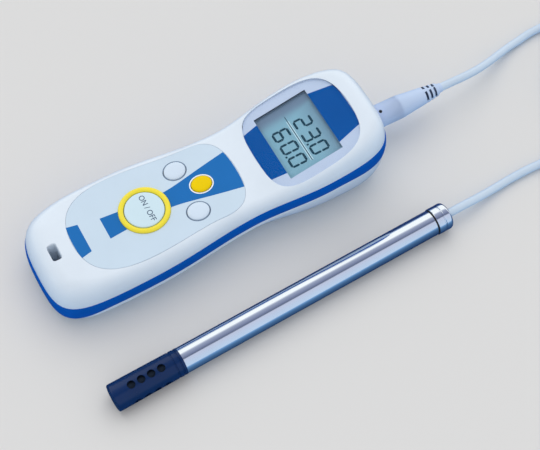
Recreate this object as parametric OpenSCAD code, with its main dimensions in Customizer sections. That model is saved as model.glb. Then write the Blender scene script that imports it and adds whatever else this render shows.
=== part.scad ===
// Handheld thermo-hygrometer with a plug-in probe on a cord.
// X is the width, Y runs from the grip end to the display end, Z is up.
// The meter lies on its back at z = 0, with the middle of its length at y = 0.

/* [Meter] */
// Half width at the widest part of the grip
grip_half = 29.2; // [28:0.1:31]
// Half width at the waist
waist_half = 24.9; // [23:0.1:26]
// Half width of the display head
head_half = 28.4; // [27.5:0.1:30]
// Height of the grip's face above the table
face_height = 29; // [28:0.5:31]
// Angle of the display head above the grip's face
head_tilt = 13.7; // [12:0.1:15]
// Height of the parting edge at the middle of the meter
parting_height = 23; // [22.5:0.1:23.5]
// Height of the blue band between the two shells
band_height = 9.6; // [8:0.1:10]
// Thickness of the side walls
wall = 2.4; // [2:0.1:2.6]

/* [Keys] */
// Outer radius of the ring round the power key
ring_outer = 12.5; // [12:0.1:13]
// Inner radius of the ring round the power key
ring_inner = 9.9; // [9.5:0.1:10]
// Half width of the left and of the right oval key
key_a = 5.0; // [4.5:0.1:5.2]
// Half length of the left and of the right oval key
key_b = 5.85; // [5.3:0.05:6]
// Half width of the middle key
hold_a = 4.5; // [4:0.1:5]
// Half length of the middle key
hold_b = 5.45; // [5:0.05:5.8]

/* [Display] */
// Width of the opening over the display
lcd_width = 37.6; // [36:0.1:38]
// Height of the opening over the display
lcd_height = 29; // [28:0.1:30]

/* [Probe] */
// Radius of the probe tube
tube_r = 6.5; // [6:0.1:6.7]
// Length of the probe tube
tube_length = 140; // [120:1:150]
// Length of the perforated guard
guard_length = 36; // [34:0.5:38]
// Radius of the guard's tip and of the end cap, which rest on the table
rest_r = 6.85; // [6.8:0.01:6.9]

/* [Cord] */
// Diameter of the cord
cord_d = 4.2; // [4:0.1:4.3]
// Turns in each of the coil's two layers
layer_turns = 2.625; // [2.625]

/* [Hidden] */
$fn = 48;

// Side view of the meter, and how much wider the front shoulder is at the two ends
parting_slope = 0.087;
parting_sag = 1.9;
sag_middle = 14;
sag_half = 55;
bend_y = 23.3;
bend_blend = 8;
face_wall = 2.8;
grip_end_round = 4;
head_end_round = 5.5;
back_wall = 2.2;
// Side view of the cut that lifts the back behind the battery door
step_profile = [[-69.5, -1], [-69.5, 0], [-71.7, 2.2], [-95, 6.1], [-95, -1]];
inner_rise_y = -58;
inner_rise = 0.16;

// Steps of the outline's four curves on each side
corner_steps = 8;
side_steps = 6;
end_y = 89.9;
grip_end_y = -90.2;
grip_wide_y = -42;
waist_y = 14;
head_wide_y = 54;

// Angles at which the shoulders are cut into rings
shoulder_angles = [0, 18, 36, 54, 72, 90];
lip = 1.5;
lip_gap = 0.1;
band_wall = 1.5;
band_bulge = 0.9;
band_edge = 0.7;

// Keypad
overlay_thick = 0.5;
overlay_gap = 0.12;
power_y = -33;
hold_y = -2.8;
side_key_x = 12.55;
side_key_y = -10.8;
side_key_lean = 4;
key_gap = 0.35;
key_dome = 1.35;
key_points = 28;
key_foot_z = 23.5;
key_flange_z = 24.6;
key_flange_top = 25.8;

// Main board, with the mat on it
board_z = 18.6;
board_thick = 1.6;
board_half = 20;
board_from = -62;
board_to = 66;
board_bosses = [[-17, -57], [17, -57], [-17, 13], [17, 13]];
boss_r = 2.6;
pilot_r = 0.85;
mat_thick = 1;
mat_dome = 1.2;

// Display stack, in the frame of the tilted head, w = 0 at the lens top
lens_y = 51.7;
lens_proud = 0.3;
lens_thick = 1.5;
mask_thick = 0.3;
lcd_middle = -2.5;
window_step = 2.2;
frame_top = -3.1;
frame_half = [21.8, 18.6];
glass_half = [20.6, 17.3];
glass_top = -3.4;
glass_thick = 2;
strip_height = 1.5;
display_thick = 1.5;
display_bosses = [[-19, -23.4], [19, -23.4], [-20, 18.4], [20, 18.4]];
display_floor = glass_top - glass_thick - strip_height;

// Strap slot
slot_y = -79.6;
slot_half = [4.55, 2.45];
slot_sleeve = 1.6;

// Case screws
case_posts = [[-18.5, -76], [18.5, -76], [-15, 76], [15, 76]];
post_r = 3;
post_meet_z = 12;
screw_head_r = 2.2;
screw_head_h = 1.6;
screw_seat_z = 6;
screw_r = 1.15;

// Battery bay and door
cell_r = 7.25;
cell_length = 49.5;
cell_nub = 1;
cell_x = 7.6;
cell_z = 10.2;
plate = 0.4;
bay_half = 15.3;
bay_y = [-70.2, -13.6];
wall_rib = 1.4;
ledge_half = 19;
door_half = 16.8;
door_thick = 2;
door_from = -70.8;
door_to = -12;
door_gap = 0.2;
tongue_half = 18;
tongue_z = [1.1, 1.9];

// Socket and plug, on one axis along Y
plug_z = 15.7;
flange_from = 89;
flange_r = 5.4;
flange_thick = 2.4;
barrel_r = 4.9;
barrel_from = 78;
socket_bore = 4.35;
insert_r = 3.6;
plug_start = 92.1;
plug_r = 6;
plug_end = 132.9;
pin_ring = 2.1;
pin_r = 0.45;

// Probe: the tip's place on the table, and its direction
probe_tip = [69.7, -85.2];
probe_turn = 2.82;
guard_wall = 1.2;
seam_length = 0.8;
cap_length = 8.4;

// The cord's way from the plug to the coil and from the coil to the probe
cord_r = cord_d / 2;
coil_middle = [33, 216];
coil_pitch = 4.8;
coil_layer = 4.7;
coil_outer = 28.4;
coil_rings = 24;
meter_route = [[0, 132.9, 15.7], [0, 141, 15.7], [-0.7, 149, 14.4], [-2.7, 158, 11.6], [-5.4, 166.5, 8.6],
    [-8.5, 174.5, 5.4], [-11.3, 182.8, 3], [-13, 191, 2.1], [-14.3, 199, 2.1], [-14.6, 207, 2.1],
    [-14.5, 216, 2.1], [-12.2, 225, 2.1], [-7, 233, 2.1], [0.5, 239, 2.1], [10, 242.8, 2.1],
    [20, 244.3, 2.1], [28, 244.4, 2.1], [33, 244.4, 2.1]];
probe_route = [[61.4, 216, 6.8], [61.4, 211, 6.8], [61.2, 203, 5.6], [60.5, 194, 3.4], [59.4, 186, 2.3],
    [58, 177, 2.1], [56.9, 168, 2.1], [56.2, 159, 2.1], [56, 150, 2.1], [56.4, 141, 2.1],
    [57.3, 132, 2.6], [58.4, 124, 3.9], [59.5, 116, 5.7], [60.2, 108, 6.85]];

// Colours
shell_white = [0.86, 0.91, 0.97];
band_blue = [0.0, 0.28, 0.66];
key_yellow = [0.93, 0.82, 0.12];
board_green = [0.1, 0.4, 0.22];
steel = [0.78, 0.8, 0.84];
guard_navy = [0.07, 0.15, 0.3];
cord_grey = [0.78, 0.85, 0.92];

// Curves and rings

// Points of a cubic curve from a to d with handles b and c, without its last point
function curve(a, b, c, d, n) = [for (i = [0:n - 1]) let (t = i / n)
    a * pow(1 - t, 3) + 3 * b * t * pow(1 - t, 2) + 3 * c * t * t * (1 - t) + d * pow(t, 3)];

// A closed outline from its right half, which runs from the axis at the bottom to the axis at the top
function mirrored(half) = concat(half, [for (i = [len(half) - 2:-1:1]) [-half[i][0], half[i][1]]]);

// The outline moved inwards by d, which may be one number or one for each point
function inset(pts, d) = [for (i = [0:len(pts) - 1]) let (n = len(pts),
    a = pts[(i + n - 1) % n], b = pts[(i + 1) % n], t = (b - a) / norm(b - a))
    pts[i] + (is_list(d) ? d[i] : d) * [-t[1], t[0]]];

// Zero below -blend, then a smooth turn into a straight rise
function ramp(v, blend) = v < -blend ? 0 : v > blend ? v : pow(v + blend, 2) / (4 * blend);
function smooth(u) = let (c = max(0, min(1, u))) c * c * (3 - 2 * c);

// Shell outline
shell_outline = mirrored(concat(
    curve([0, grip_end_y], [grip_half - 3.2, grip_end_y], [grip_half, -87], [grip_half, grip_wide_y], corner_steps),
    curve([grip_half, grip_wide_y], [grip_half, -20], [waist_half, -6], [waist_half, waist_y], side_steps),
    curve([waist_half, waist_y], [waist_half, 27], [head_half, 40], [head_half, head_wide_y], side_steps),
    curve([head_half, head_wide_y], [head_half, 89], [head_half - 7, end_y], [0, end_y], corner_steps),
    [[0, end_y]]));
outline_ys = [for (p = shell_outline) p[1]];

// Side view: parting edge, face and the floor inside
function parting_z(y) = let (u = abs(y - sag_middle) / sag_half)
    parting_height + parting_slope * y - (u < 1 ? parting_sag * pow(cos(90 * u), 2) : 0);
function face_z(y) = face_height + tan(head_tilt) * ramp(y - bend_y, bend_blend);
function floor_z(y) = back_wall + inner_rise * ramp(inner_rise_y - y, 3);

// Width of the front shoulder and of the rear one, and how early the rear one turns in
function front_shoulder(y) = 5.3 - 0.014 * y + grip_end_round * smooth((-60 - y) / 28)
    + head_end_round * smooth((y - 58) / 32);
function rear_shoulder(y) = 11 - 3 * smooth((abs(y) - 45) / 35);
function rear_tuck(y) = 0.72 * (1 - smooth((y - 5) / 40));

// One ring of the front shell at angle a of its shoulder
function front_ring(a, base, less, drop) =
    let (d = [for (y = outline_ys) base + (front_shoulder(y) - less) * (1 - cos(a))])
    [for (p = inset(shell_outline, d)) let (y = p[1])
        [p[0], y, parting_z(y) * (1 - sin(a)) + (face_z(y) - drop) * sin(a)]];

// One ring of the rear shell, which turns in under the band; its flat is at z = 0 or on the floor inside
function rear_ring(a, base, less, inside) =
    let (d = [for (y = outline_ys) let (k = rear_tuck(y))
        base + (rear_shoulder(y) - less) * (1 - (1 - k) * cos(a) - k * (1 - a / 90))])
    [for (p = inset(shell_outline, d)) let (y = p[1])
        [p[0], y, (parting_z(y) - band_height) * (1 - sin(a)) + (inside ? floor_z(y) * sin(a) : 0)]];

// One ring that follows the parting edge, at a distance in from the outline and a height above the edge
function edge_ring(d, up) = [for (p = inset(shell_outline, d)) [p[0], p[1], parting_z(p[1]) + up]];

// Closed solid through rings. Its two ends are ladders of flat strips between points at equal y,
// so that a face that bends only along y stays true.
module ring_solid(rings, flip = false) {
    n = len(rings[0]);
    m = len(rings);
    half = n / 2;
    walls = [for (k = [0:m - 2], i = [0:n - 1]) let (a = k * n + i, b = k * n + (i + 1) % n)
        each [[a, a + n, b + n], [a, b + n, b]]];
    strips = concat([[0, 1, n - 1]],
        [for (i = [1:half - 2]) each [[i, i + 1, n - i - 1], [i, n - i - 1, n - i]]],
        [[half - 1, half, half + 1]]);
    top = (m - 1) * n;
    ends = concat(strips, [for (f = strips) [top + f[0], top + f[2], top + f[1]]]);
    faces = concat(walls, ends);
    polyhedron([for (r = rings) each r], flip ? [for (f = faces) [f[0], f[2], f[1]]] : faces);
}

// Closed band through rings, whose last ring joins the first
module ring_loop(rings) {
    n = len(rings[0]);
    m = len(rings);
    walls = [for (k = [0:m - 1], i = [0:n - 1]) let (a = k * n + i, b = k * n + (i + 1) % n,
        c = ((k + 1) % m) * n + i, d = ((k + 1) % m) * n + (i + 1) % n)
        each [[a, c, d], [a, d, b]]];
    polyhedron([for (r = rings) each r], walls);
}

// Tube through a route's points, with square ends; its rings are set out from a direction that it never takes
module swept_tube(route, r, sides, out = [0, 0, 1]) {
    n = len(route);
    dirs = [for (i = [0:n - 1]) let (t = route[min(i + 1, n - 1)] - route[max(i - 1, 0)]) t / norm(t)];
    points = [for (i = [0:n - 1]) let (t = dirs[i], s = cross(t, out), side = s / norm(s), up = cross(side, t))
        for (k = [0:sides - 1]) route[i] + r * (cos(360 * k / sides) * side + sin(360 * k / sides) * up)];
    walls = [for (i = [0:n - 2], k = [0:sides - 1]) let (a = i * sides + k, b = i * sides + (k + 1) % sides)
        each [[a, b, b + sides], [a, b + sides, a + sides]]];
    first = [for (k = [sides - 1:-1:0]) k];
    last = [for (k = [0:sides - 1]) (n - 1) * sides + k];
    polyhedron(points, concat(walls, [first, last]));
}

// Frames of the tilted head and of the probe
module in_head() {
    translate([0, lens_y, face_z(lens_y) + lens_proud / cos(head_tilt)])
        rotate([head_tilt, 0, 0])
            children();
}
module on_probe(y) {
    translate([probe_tip[0], probe_tip[1], rest_r])
        rotate([0, 0, probe_turn])
            translate([0, y, 0])
                rotate([-90, 0, 0])
                    children();
}
module on_plug(y) {
    translate([0, y, plug_z])
        rotate([-90, 0, 0])
            children();
}

// Outlines of the window and of the keypad overlay
lens_outline = mirrored(concat(
    curve([0, -26.2], [23.5, -26.2], [24.35, -21.5], [24.35, -1], 9),
    curve([24.35, -1], [24.35, 18.5], [21, 26.2], [0, 26.2], 9),
    [[0, 26.2]]));
overlay_outline = mirrored(concat(
    curve([0, -70.4], [18.5, -70.4], [24.1, -59.5], [24.1, -41], 8),
    curve([24.1, -41], [24.1, -28], [21.2, -14], [21.2, -3], 3),
    curve([21.2, -3], [21.6, 9], [18.5, 15.8], [0, 15.8], 8),
    [[0, 15.8]]));

// The three oval keys: place, lean and the two half lengths
oval_keys = [[-side_key_x, side_key_y, side_key_lean, key_a, key_b], [0, hold_y, 0, hold_a, hold_b],
    [side_key_x, side_key_y, -side_key_lean, key_a, key_b]];

// Oval that starts at its lowest point
function oval(a, b) = [for (i = [0:key_points - 1]) [a * sin(360 * i / key_points), -b * cos(360 * i / key_points)]];

module at_key(k) {
    translate([k[0], k[1], 0])
        rotate([0, 0, k[2]])
            children();
}

module key_holes(from, to, gap) {
    for (k = oval_keys)
        at_key(k)
            translate([0, 0, from])
                linear_extrude(to - from)
                    polygon(oval(k[3] + gap, k[4] + gap));
}

module box_at(x, y, z) {
    translate([x[0], y[0], z[0]])
        cube([x[1] - x[0], y[1] - y[0], z[1] - z[0]]);
}

module slot_prism(grow, from, to) {
    translate([0, slot_y, from])
        linear_extrude(to - from)
            offset(r = 1)
                square([2 * (slot_half[0] + grow) - 2, 2 * (slot_half[1] + grow) - 2], center = true);
}

// The meter's housing

module front_body() {
    seat = band_wall + lip_gap;
    inner = [for (i = [5:-1:0]) front_ring(shoulder_angles[i], wall, 0.8, face_wall)];
    outer = [for (a = shoulder_angles) front_ring(a, 0, 0, 0)];
    ring_solid(concat(inner, [edge_ring(wall, -lip), edge_ring(seat, -lip), edge_ring(seat, 0)], outer));
}

module front_shell() {
    inner_z = face_height - face_wall;
    color(shell_white)
    difference() {
        union() {
            front_body();
            for (b = board_bosses)
                translate([b[0], b[1], board_z + board_thick])
                    cylinder(h = inner_z + 0.4 - board_z - board_thick, r = boss_r);
            for (p = case_posts)
                translate([p[0], p[1], post_meet_z])
                    cylinder(h = face_z(p[1]) - face_wall + 0.4 - post_meet_z, r = post_r);
            in_head()
                for (b = display_bosses)
                    translate([b[0], b[1], display_floor])
                        cylinder(h = frame_top + 0.35 - display_floor, r = 1.9);
            slot_prism(slot_sleeve, 8, inner_z + 0.4);
        }
        slot_prism(0, 0, face_height + 1);
        translate([0, 0, face_height - overlay_thick])
            linear_extrude(2)
                polygon(inset(overlay_outline, -overlay_gap));
        key_holes(inner_z - 1, face_height, key_gap);
        translate([0, power_y, inner_z - 1])
            cylinder(h = 4, r = ring_inner + 0.3);
        in_head() {
            translate([0, 0, -lens_thick - mask_thick])
                linear_extrude(lens_thick + 6)
                    polygon(inset(lens_outline, -overlay_gap));
            translate([0, 0, frame_top - 0.1])
                linear_extrude(6)
                    polygon(inset(lens_outline, window_step));
            for (b = display_bosses)
                translate([b[0], b[1], display_floor - 1])
                    cylinder(h = 4.4, r = pilot_r);
        }
        for (b = board_bosses)
            translate([b[0], b[1], board_z])
                cylinder(h = 7, r = pilot_r);
        for (p = case_posts)
            translate([p[0], p[1], post_meet_z - 1])
                cylinder(h = 9, r = screw_r + 0.05);
    }
}

module trim_band() {
    section = [[band_wall, 0], [band_wall, -band_height], [-0.1, -band_height],
        [-band_bulge + 0.25, -band_height + band_edge], [-band_bulge, -band_height / 2],
        [-band_bulge + 0.25, -band_edge], [-0.1, 0]];
    color(band_blue)
        ring_loop([for (s = section) edge_ring(s[0], s[1])]);
}

// The lower housing as a full solid, with the lifted part behind the door
module rear_solid() {
    difference() {
        ring_solid([for (i = [5:-1:0]) rear_ring(shoulder_angles[i], 0, 0, false)]);
        back_step();
    }
}
module back_step() {
    rotate([90, 0, 90])
        translate([0, 0, -50])
            linear_extrude(100)
                polygon(step_profile);
}
module rear_cup() {
    seat = band_wall + lip_gap;
    b = -band_height;
    inner = [for (i = [5:-1:0]) rear_ring(shoulder_angles[i], wall, 1.2, true)];
    outer = [for (a = shoulder_angles) rear_ring(a, 0, 0, false)];
    ring_solid(concat(inner, [edge_ring(wall, b + lip), edge_ring(seat, b + lip), edge_ring(seat, b)], outer), true);
}

// What stands inside the lower housing
module rear_posts() {
    for (p = case_posts)
        translate([p[0], p[1], 1])
            cylinder(h = post_meet_z - 1, r = post_r + 0.4);
    box_at([-bay_half, bay_half], [bay_y[0] - wall_rib, bay_y[0]], [1, 12]);
    box_at([-bay_half, bay_half], [bay_y[1], bay_y[1] + wall_rib], [1, 12]);
    // ledges that the door rests against
    for (sx = [-1, 1])
        box_at(sx > 0 ? [bay_half, ledge_half] : [-ledge_half, -bay_half],
            [bay_y[0] - wall_rib, bay_y[1] + wall_rib], [door_thick + 0.1, 3.4]);
    slot_prism(slot_sleeve - 0.2, 1, 7.8);
}

module rear_shell() {
    color(shell_white)
    difference() {
        union() {
            rear_cup();
            rear_posts();
        }
        back_step();
        slot_prism(0, -1, 12);
        // the door's place and its way out
        box_at([-door_half - door_gap, door_half + door_gap], [-100, door_to + door_gap], [-1, door_thick + 0.1]);
        box_at([-tongue_half - door_gap, tongue_half + door_gap], [-100, door_to + door_gap],
            [tongue_z[0] - 0.1, door_thick + 0.1]);
        // the opening that the cells go in by
        box_at([-bay_half, bay_half], bay_y, [-1, 4.5]);
        for (p = case_posts) {
            translate([p[0], p[1], -1])
                cylinder(h = screw_seat_z + 1, r = screw_head_r + 0.3);
            translate([p[0], p[1], -1])
                cylinder(h = 20, r = screw_r + 0.25);
        }
        on_plug(flange_from)
            cylinder(h = 4, r = flange_r + 0.1);
        on_plug(80)
            cylinder(h = 12, r = barrel_r + 0.1);
    }
}

module battery_door() {
    color(shell_white)
    difference() {
        union() {
            intersection() {
                rear_solid();
                box_at([-door_half, door_half], [door_from, door_to], [-1, door_thick]);
            }
            for (sx = [-1, 1])
                box_at(sx > 0 ? [door_half - 1, tongue_half] : [-tongue_half, 1 - door_half],
                    [door_from + 6, door_to - 4], tongue_z);
        }
        // grip grooves near the free end
        for (i = [0:4])
            translate([0, door_from + 5 + 2.4 * i, -0.4])
                rotate([0, 90, 0])
                    cylinder(h = 20 - 2 * abs(i - 2), r = 0.9, center = true, $fn = 24);
    }
}

// Window and display

module window_lens() {
    color([0.8, 0.9, 0.95, 0.4])
    in_head()
        translate([0, 0, -lens_thick])
            linear_extrude(lens_thick)
                polygon(lens_outline);
}

module window_mask() {
    color([0.79, 0.83, 0.93])
    in_head()
        translate([0, 0, -lens_thick - mask_thick])
            linear_extrude(mask_thick)
                difference() {
                    polygon(lens_outline);
                    translate([0, lcd_middle])
                        square([lcd_width, lcd_height], center = true);
                }
}

module lcd_glass() {
    color([0.56, 0.67, 0.7])
    in_head()
        translate([-glass_half[0], lcd_middle - glass_half[1], glass_top - glass_thick])
            cube([2 * glass_half[0], 2 * glass_half[1], glass_thick]);
}

// Space inside the front shell, with a little play
module front_space() {
    ring_solid(concat([edge_ring(wall + 0.15, -20)],
        [for (a = shoulder_angles) front_ring(a, wall + 0.15, 0.8, face_wall + 0.12)]));
}

module lcd_frame() {
    color([0.2, 0.2, 0.22])
    intersection() {
        front_space();
        in_head()
            translate([0, lcd_middle, display_floor])
                difference() {
                    linear_extrude(frame_top - display_floor)
                        offset(r = 1.5)
                            square([2 * frame_half[0] - 3, 2 * frame_half[1] - 3], center = true);
                    translate([0, 0, -1])
                        linear_extrude(glass_top - display_floor + 1.05)
                            square([2 * glass_half[0] + 0.3, 2 * glass_half[1] + 0.3], center = true);
                    linear_extrude(10)
                        square([lcd_width + 1.2, lcd_height + 1.2], center = true);
                }
    }
}

module contact_strips() {
    color([0.3, 0.3, 0.32])
    in_head()
        for (s = [-1, 1])
            translate([-19, lcd_middle + s * 16 - 1.2, display_floor])
                cube([38, 2.4, strip_height]);
}

module display_board() {
    color(board_green)
    difference() {
        in_head()
            translate([0, 0, display_floor - display_thick])
                difference() {
                    translate([-21.6, -25.3, 0])
                        cube([43.2, 46, display_thick]);
                    for (b = display_bosses)
                        translate([b[0], b[1], -1])
                            cylinder(h = 4, r = pilot_r + 0.3);
                }
        for (p = case_posts)
            translate([p[0], p[1], 0])
                cylinder(h = 60, r = post_r + 0.5);
    }
}

// A flat cable from the display board that turns back onto the main board
module display_ribbon() {
    ribbon = 0.3;
    bend = 2.45;
    foot_z = board_z + board_thick;
    middle = [46.4, foot_z + bend];
    color([0.75, 0.6, 0.35])
        translate([-6, 0, 0])
            rotate([90, 0, 90])
                linear_extrude(12)
                    difference() {
                        union() {
                            translate(middle)
                                circle(r = bend);
                            translate([middle[0], foot_z])
                                square([7, ribbon]);
                            translate(middle)
                                rotate(head_tilt)
                                    translate([0, bend - ribbon])
                                        square([6, ribbon]);
                        }
                        translate(middle)
                            circle(r = bend - ribbon);
                        translate([middle[0], foot_z + ribbon])
                            square([3, 2 * bend - 2 * ribbon]);
                    }
}

module main_board() {
    color(board_green)
        translate([0, 0, board_z])
            difference() {
                translate([0, (board_from + board_to) / 2])
                    linear_extrude(board_thick)
                        offset(r = 2)
                            square([2 * board_half - 4, board_to - board_from - 4], center = true);
                for (b = board_bosses)
                    translate([b[0], b[1], -1])
                        cylinder(h = 4, r = pilot_r + 0.3);
            }
}

module board_chips() {
    top = board_z + board_thick;
    color([0.12, 0.12, 0.13]) {
        box_at([-6, 6], [22, 32], [top, top + 1.4]);
        box_at([8, 14], [14, 19], [top, top + 1.5]);
        box_at([-15, -9], [16, 24], [top, top + 1.5]);
        box_at([-9, 9], [57, 61], [top, top + 2.5]);
    }
}

module small_screw(length, r, head_r, head_h) {
    difference() {
        union() {
            cylinder(h = head_h, r = head_r);
            cylinder(h = head_h + length, r = r);
        }
        for (a = [0, 90])
            rotate([0, 0, a])
                translate([-head_r * 0.6, -0.25, -0.1])
                    cube([head_r * 1.2, 0.5, head_h * 0.6]);
    }
}

module board_screws() {
    color(steel) {
        for (b = board_bosses)
            translate([b[0], b[1], board_z - 1])
                small_screw(6, pilot_r - 0.05, 1.6, 1);
        in_head()
            for (b = display_bosses)
                translate([b[0], b[1], display_floor - display_thick - 1])
                    small_screw(4.5, pilot_r - 0.05, 1.6, 1);
    }
}

module case_screws() {
    color(steel)
        for (p = case_posts)
            translate([p[0], p[1], screw_seat_z - screw_head_h])
                small_screw(13, screw_r, screw_head_r, screw_head_h);
}

// Keypad

module key_overlay() {
    color([0.82, 0.89, 0.95])
        translate([0, 0, face_height - overlay_thick])
            difference() {
                linear_extrude(overlay_thick)
                    polygon(overlay_outline);
                translate([0, power_y, -1])
                    cylinder(h = 3, r = ring_outer + 0.1);
                key_holes(-1, 2, key_gap);
            }
}

module key_mat() {
    floor_z = board_z + board_thick;
    color([0.55, 0.57, 0.6])
        translate([0, 0, floor_z]) {
            translate([0, -22])
                linear_extrude(mat_thick)
                    offset(r = 3)
                        square([30 - 3, 62 - 6], center = true);
            for (k = oval_keys)
                translate([k[0], k[1], 0])
                    cylinder(h = mat_thick + mat_dome, r1 = 4.4, r2 = 3);
            translate([0, power_y, 0])
                cylinder(h = mat_thick + mat_dome, r1 = 8, r2 = 6);
        }
}

module power_ring() {
    middle_r = (ring_inner + ring_outer) / 2;
    half = (ring_outer - ring_inner) / 2;
    color(key_yellow)
        translate([0, power_y, face_height - overlay_thick])
            rotate_extrude($fn = 96)
                union() {
                    translate([ring_inner, 0])
                        square([2 * half, 0.9]);
                    intersection() {
                        translate([middle_r, 0.9 - half * 0.35])
                            circle(r = half * 1.06, $fn = 40);
                        translate([ring_inner, 0])
                            square([2 * half, 4]);
                    }
                }
}

module power_key() {
    top = face_height + key_dome - 0.5;
    r = ring_inner - 0.3;
    color([0.83, 0.87, 0.95])
        translate([0, power_y, 0])
            rotate_extrude($fn = 96)
                polygon([[0, key_foot_z], [4, key_foot_z], [4, key_flange_z], [r + 1.6, key_flange_z],
                    [r + 1.6, key_flange_top], [r, key_flange_top], [r, top - 0.5], [r - 0.15, top - 0.15],
                    [r - 0.5, top], [r - 3, top - 0.12], [0, top - 0.3]]);
}

// Oval key: foot, flange under the shell, and a crowned cap
module oval_key(k) {
    top = face_height + key_dome;
    a = k[3];
    b = k[4];
    levels = [[3, 3, key_foot_z], [3, 3, key_flange_z], [a + 1, b + 1, key_flange_z],
        [a + 1, b + 1, key_flange_top], [a, b, key_flange_top], [a, b, top - 0.75],
        [a * 0.93, b * 0.94, top - 0.35], [a * 0.72, b * 0.75, top - 0.1], [a * 0.38, b * 0.4, top]];
    at_key(k)
        ring_solid([for (l = levels) [for (p = oval(l[0], l[1])) [p[0], p[1], l[2]]]]);
}
module mode_key() {
    color([0.93, 0.96, 0.99])
        oval_key(oval_keys[0]);
}
module hold_key() {
    color(key_yellow)
        oval_key(oval_keys[1]);
}
module minmax_key() {
    color([0.93, 0.96, 0.99])
        oval_key(oval_keys[2]);
}

// Batteries

// The right cell's nub touches the front plate and the left cell's the rear one
module battery_cells() {
    color([0.45, 0.5, 0.55])
        for (s = [-1, 1])
            translate([s * cell_x, s > 0 ? bay_y[1] - plate : bay_y[0] + plate, cell_z])
                rotate([s > 0 ? 90 : -90, 0, 0])
                    rotate_extrude()
                        polygon([[0, 0], [2.7, 0], [2.7, cell_nub + 0.3], [6.8, cell_nub + 0.3],
                            [cell_r, cell_nub + 0.9], [cell_r, cell_nub + cell_length - 0.9],
                            [6.8, cell_nub + cell_length - 0.3], [5, cell_nub + cell_length], [0, cell_nub + cell_length]]);
}

// Coil springs between a plate and the flat end of a cell
module battery_springs() {
    wire = 0.3;
    turns = 4;
    steps = 10;
    length = bay_y[1] - bay_y[0] - 2 * plate - cell_length - cell_nub - 2 * wire;
    color(steel)
        for (s = [-1, 1]) {
            start = s > 0 ? bay_y[0] + plate + wire : bay_y[1] - plate - wire;
            swept_tube([for (i = [0:turns * steps]) let (a = 360 * i / steps, r = 4.4 - 1.8 * i / (turns * steps))
                [s * cell_x + r * cos(a), start + s * length * i / (turns * steps), cell_z + r * sin(a)]],
                wire, 6, [0, 1, 0]);
        }
}

module battery_plates() {
    color(steel) {
        box_at([-cell_x - 5, cell_x + 5], [bay_y[0], bay_y[0] + plate], [5, 15.5]);
        box_at([cell_x - 5, cell_x + 5], [bay_y[1] - plate, bay_y[1]], [5, board_z]);
        box_at([-cell_x - 5, -cell_x + 5], [bay_y[1] - plate, bay_y[1]], [5, board_z]);
    }
}

// Socket in the display end

module socket_barrel() {
    color(steel)
        on_plug(0)
            difference() {
                union() {
                    translate([0, 0, barrel_from])
                        cylinder(h = flange_from - barrel_from + 0.1, r = barrel_r);
                    translate([0, 0, flange_from])
                        cylinder(h = flange_thick, r = flange_r);
                }
                translate([0, 0, barrel_from + 2])
                    cylinder(h = 20, r = socket_bore);
                translate([0, 0, barrel_from - 1])
                    cylinder(h = 20, r = insert_r);
            }
}

module pin_places() {
    for (a = [45:90:315])
        rotate([0, 0, a])
            translate([pin_ring, 0, 0])
                children();
}

module socket_insert() {
    color([0.1, 0.1, 0.12])
        on_plug(barrel_from)
            difference() {
                cylinder(h = 7, r = insert_r);
                pin_places()
                    translate([0, 0, 1.5])
                        cylinder(h = 8, r = pin_r + 0.2, $fn = 16);
            }
}

module socket_nut() {
    color(steel)
        on_plug(83.7)
            difference() {
                cylinder(h = 2, r = 7.2, $fn = 6);
                translate([0, 0, -1])
                    cylinder(h = 4, r = barrel_r + 0.02);
            }
}

// Four leads from the socket's back to the main board's end
module socket_leads() {
    color([0.7, 0.1, 0.1])
        for (i = [0:3]) {
            x = -3 + 2 * i;
            rise = board_z - plug_z;
            translate([x, 63, plug_z])
                rotate([-90, 0, 0])
                    cylinder(h = barrel_from - 63, r = 0.45, $fn = 16);
            translate([x, 63, plug_z])
                sphere(r = 0.45, $fn = 16);
            translate([x, 63, plug_z])
                cylinder(h = rise, r = 0.45, $fn = 16);
        }
}

// Plug

module plug_body() {
    length = plug_end - plug_start;
    color([0.8, 0.85, 0.94])
        on_plug(plug_start)
            difference() {
                rotate_extrude()
                    polygon([[0, 1.5], [socket_bore, 1.5], [socket_bore, 0], [plug_r - 0.5, 0], [plug_r, 0.5], [plug_r, 15.5],
                        [plug_r - 0.3, 18], [4.9, 27], [3.9, 35], [3.1, length - 0.4], [2.7, length], [0, length]]);
                // three pairs of slots that let the relief bend
                for (y = [30.4, 33.6, 36.8], s = [0, 180])
                    rotate([0, 0, s])
                        translate([1.9, -3.3, y])
                            cube([4, 6.6, 1.2]);
            }
}

module plug_shell() {
    start = barrel_from + 3.6;
    color(steel)
        on_plug(start)
            difference() {
                cylinder(h = plug_start + 1.5 - start, r = socket_bore - 0.1);
                translate([0, 0, -1])
                    cylinder(h = 30, r = insert_r + 0.1);
            }
}

module plug_insert() {
    start = barrel_from + 8;
    color([0.85, 0.85, 0.82])
        on_plug(start)
            difference() {
                cylinder(h = plug_start + 1.5 - start, r = insert_r + 0.1);
                pin_places()
                    translate([0, 0, -1])
                        cylinder(h = 30, r = pin_r, $fn = 16);
            }
}

module plug_pins() {
    color([0.85, 0.7, 0.3])
        on_plug(80.5)
            pin_places()
                cylinder(h = 11, r = pin_r, $fn = 16);
}

// Cord

coil_turns = 2 * layer_turns;
coil_path = [for (i = [0:coil_turns * coil_rings]) let (
    turn = i / coil_rings,
    from_middle = turn - coil_turns / 2,
    r = coil_outer - coil_pitch * (coil_turns / 2 - abs(from_middle)),
    a = 90 - 360 * turn,
    z = cord_r + coil_layer * smooth(0.5 + 2 * from_middle))
    [coil_middle[0] + r * cos(a), coil_middle[1] + r * sin(a), z]];

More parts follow.
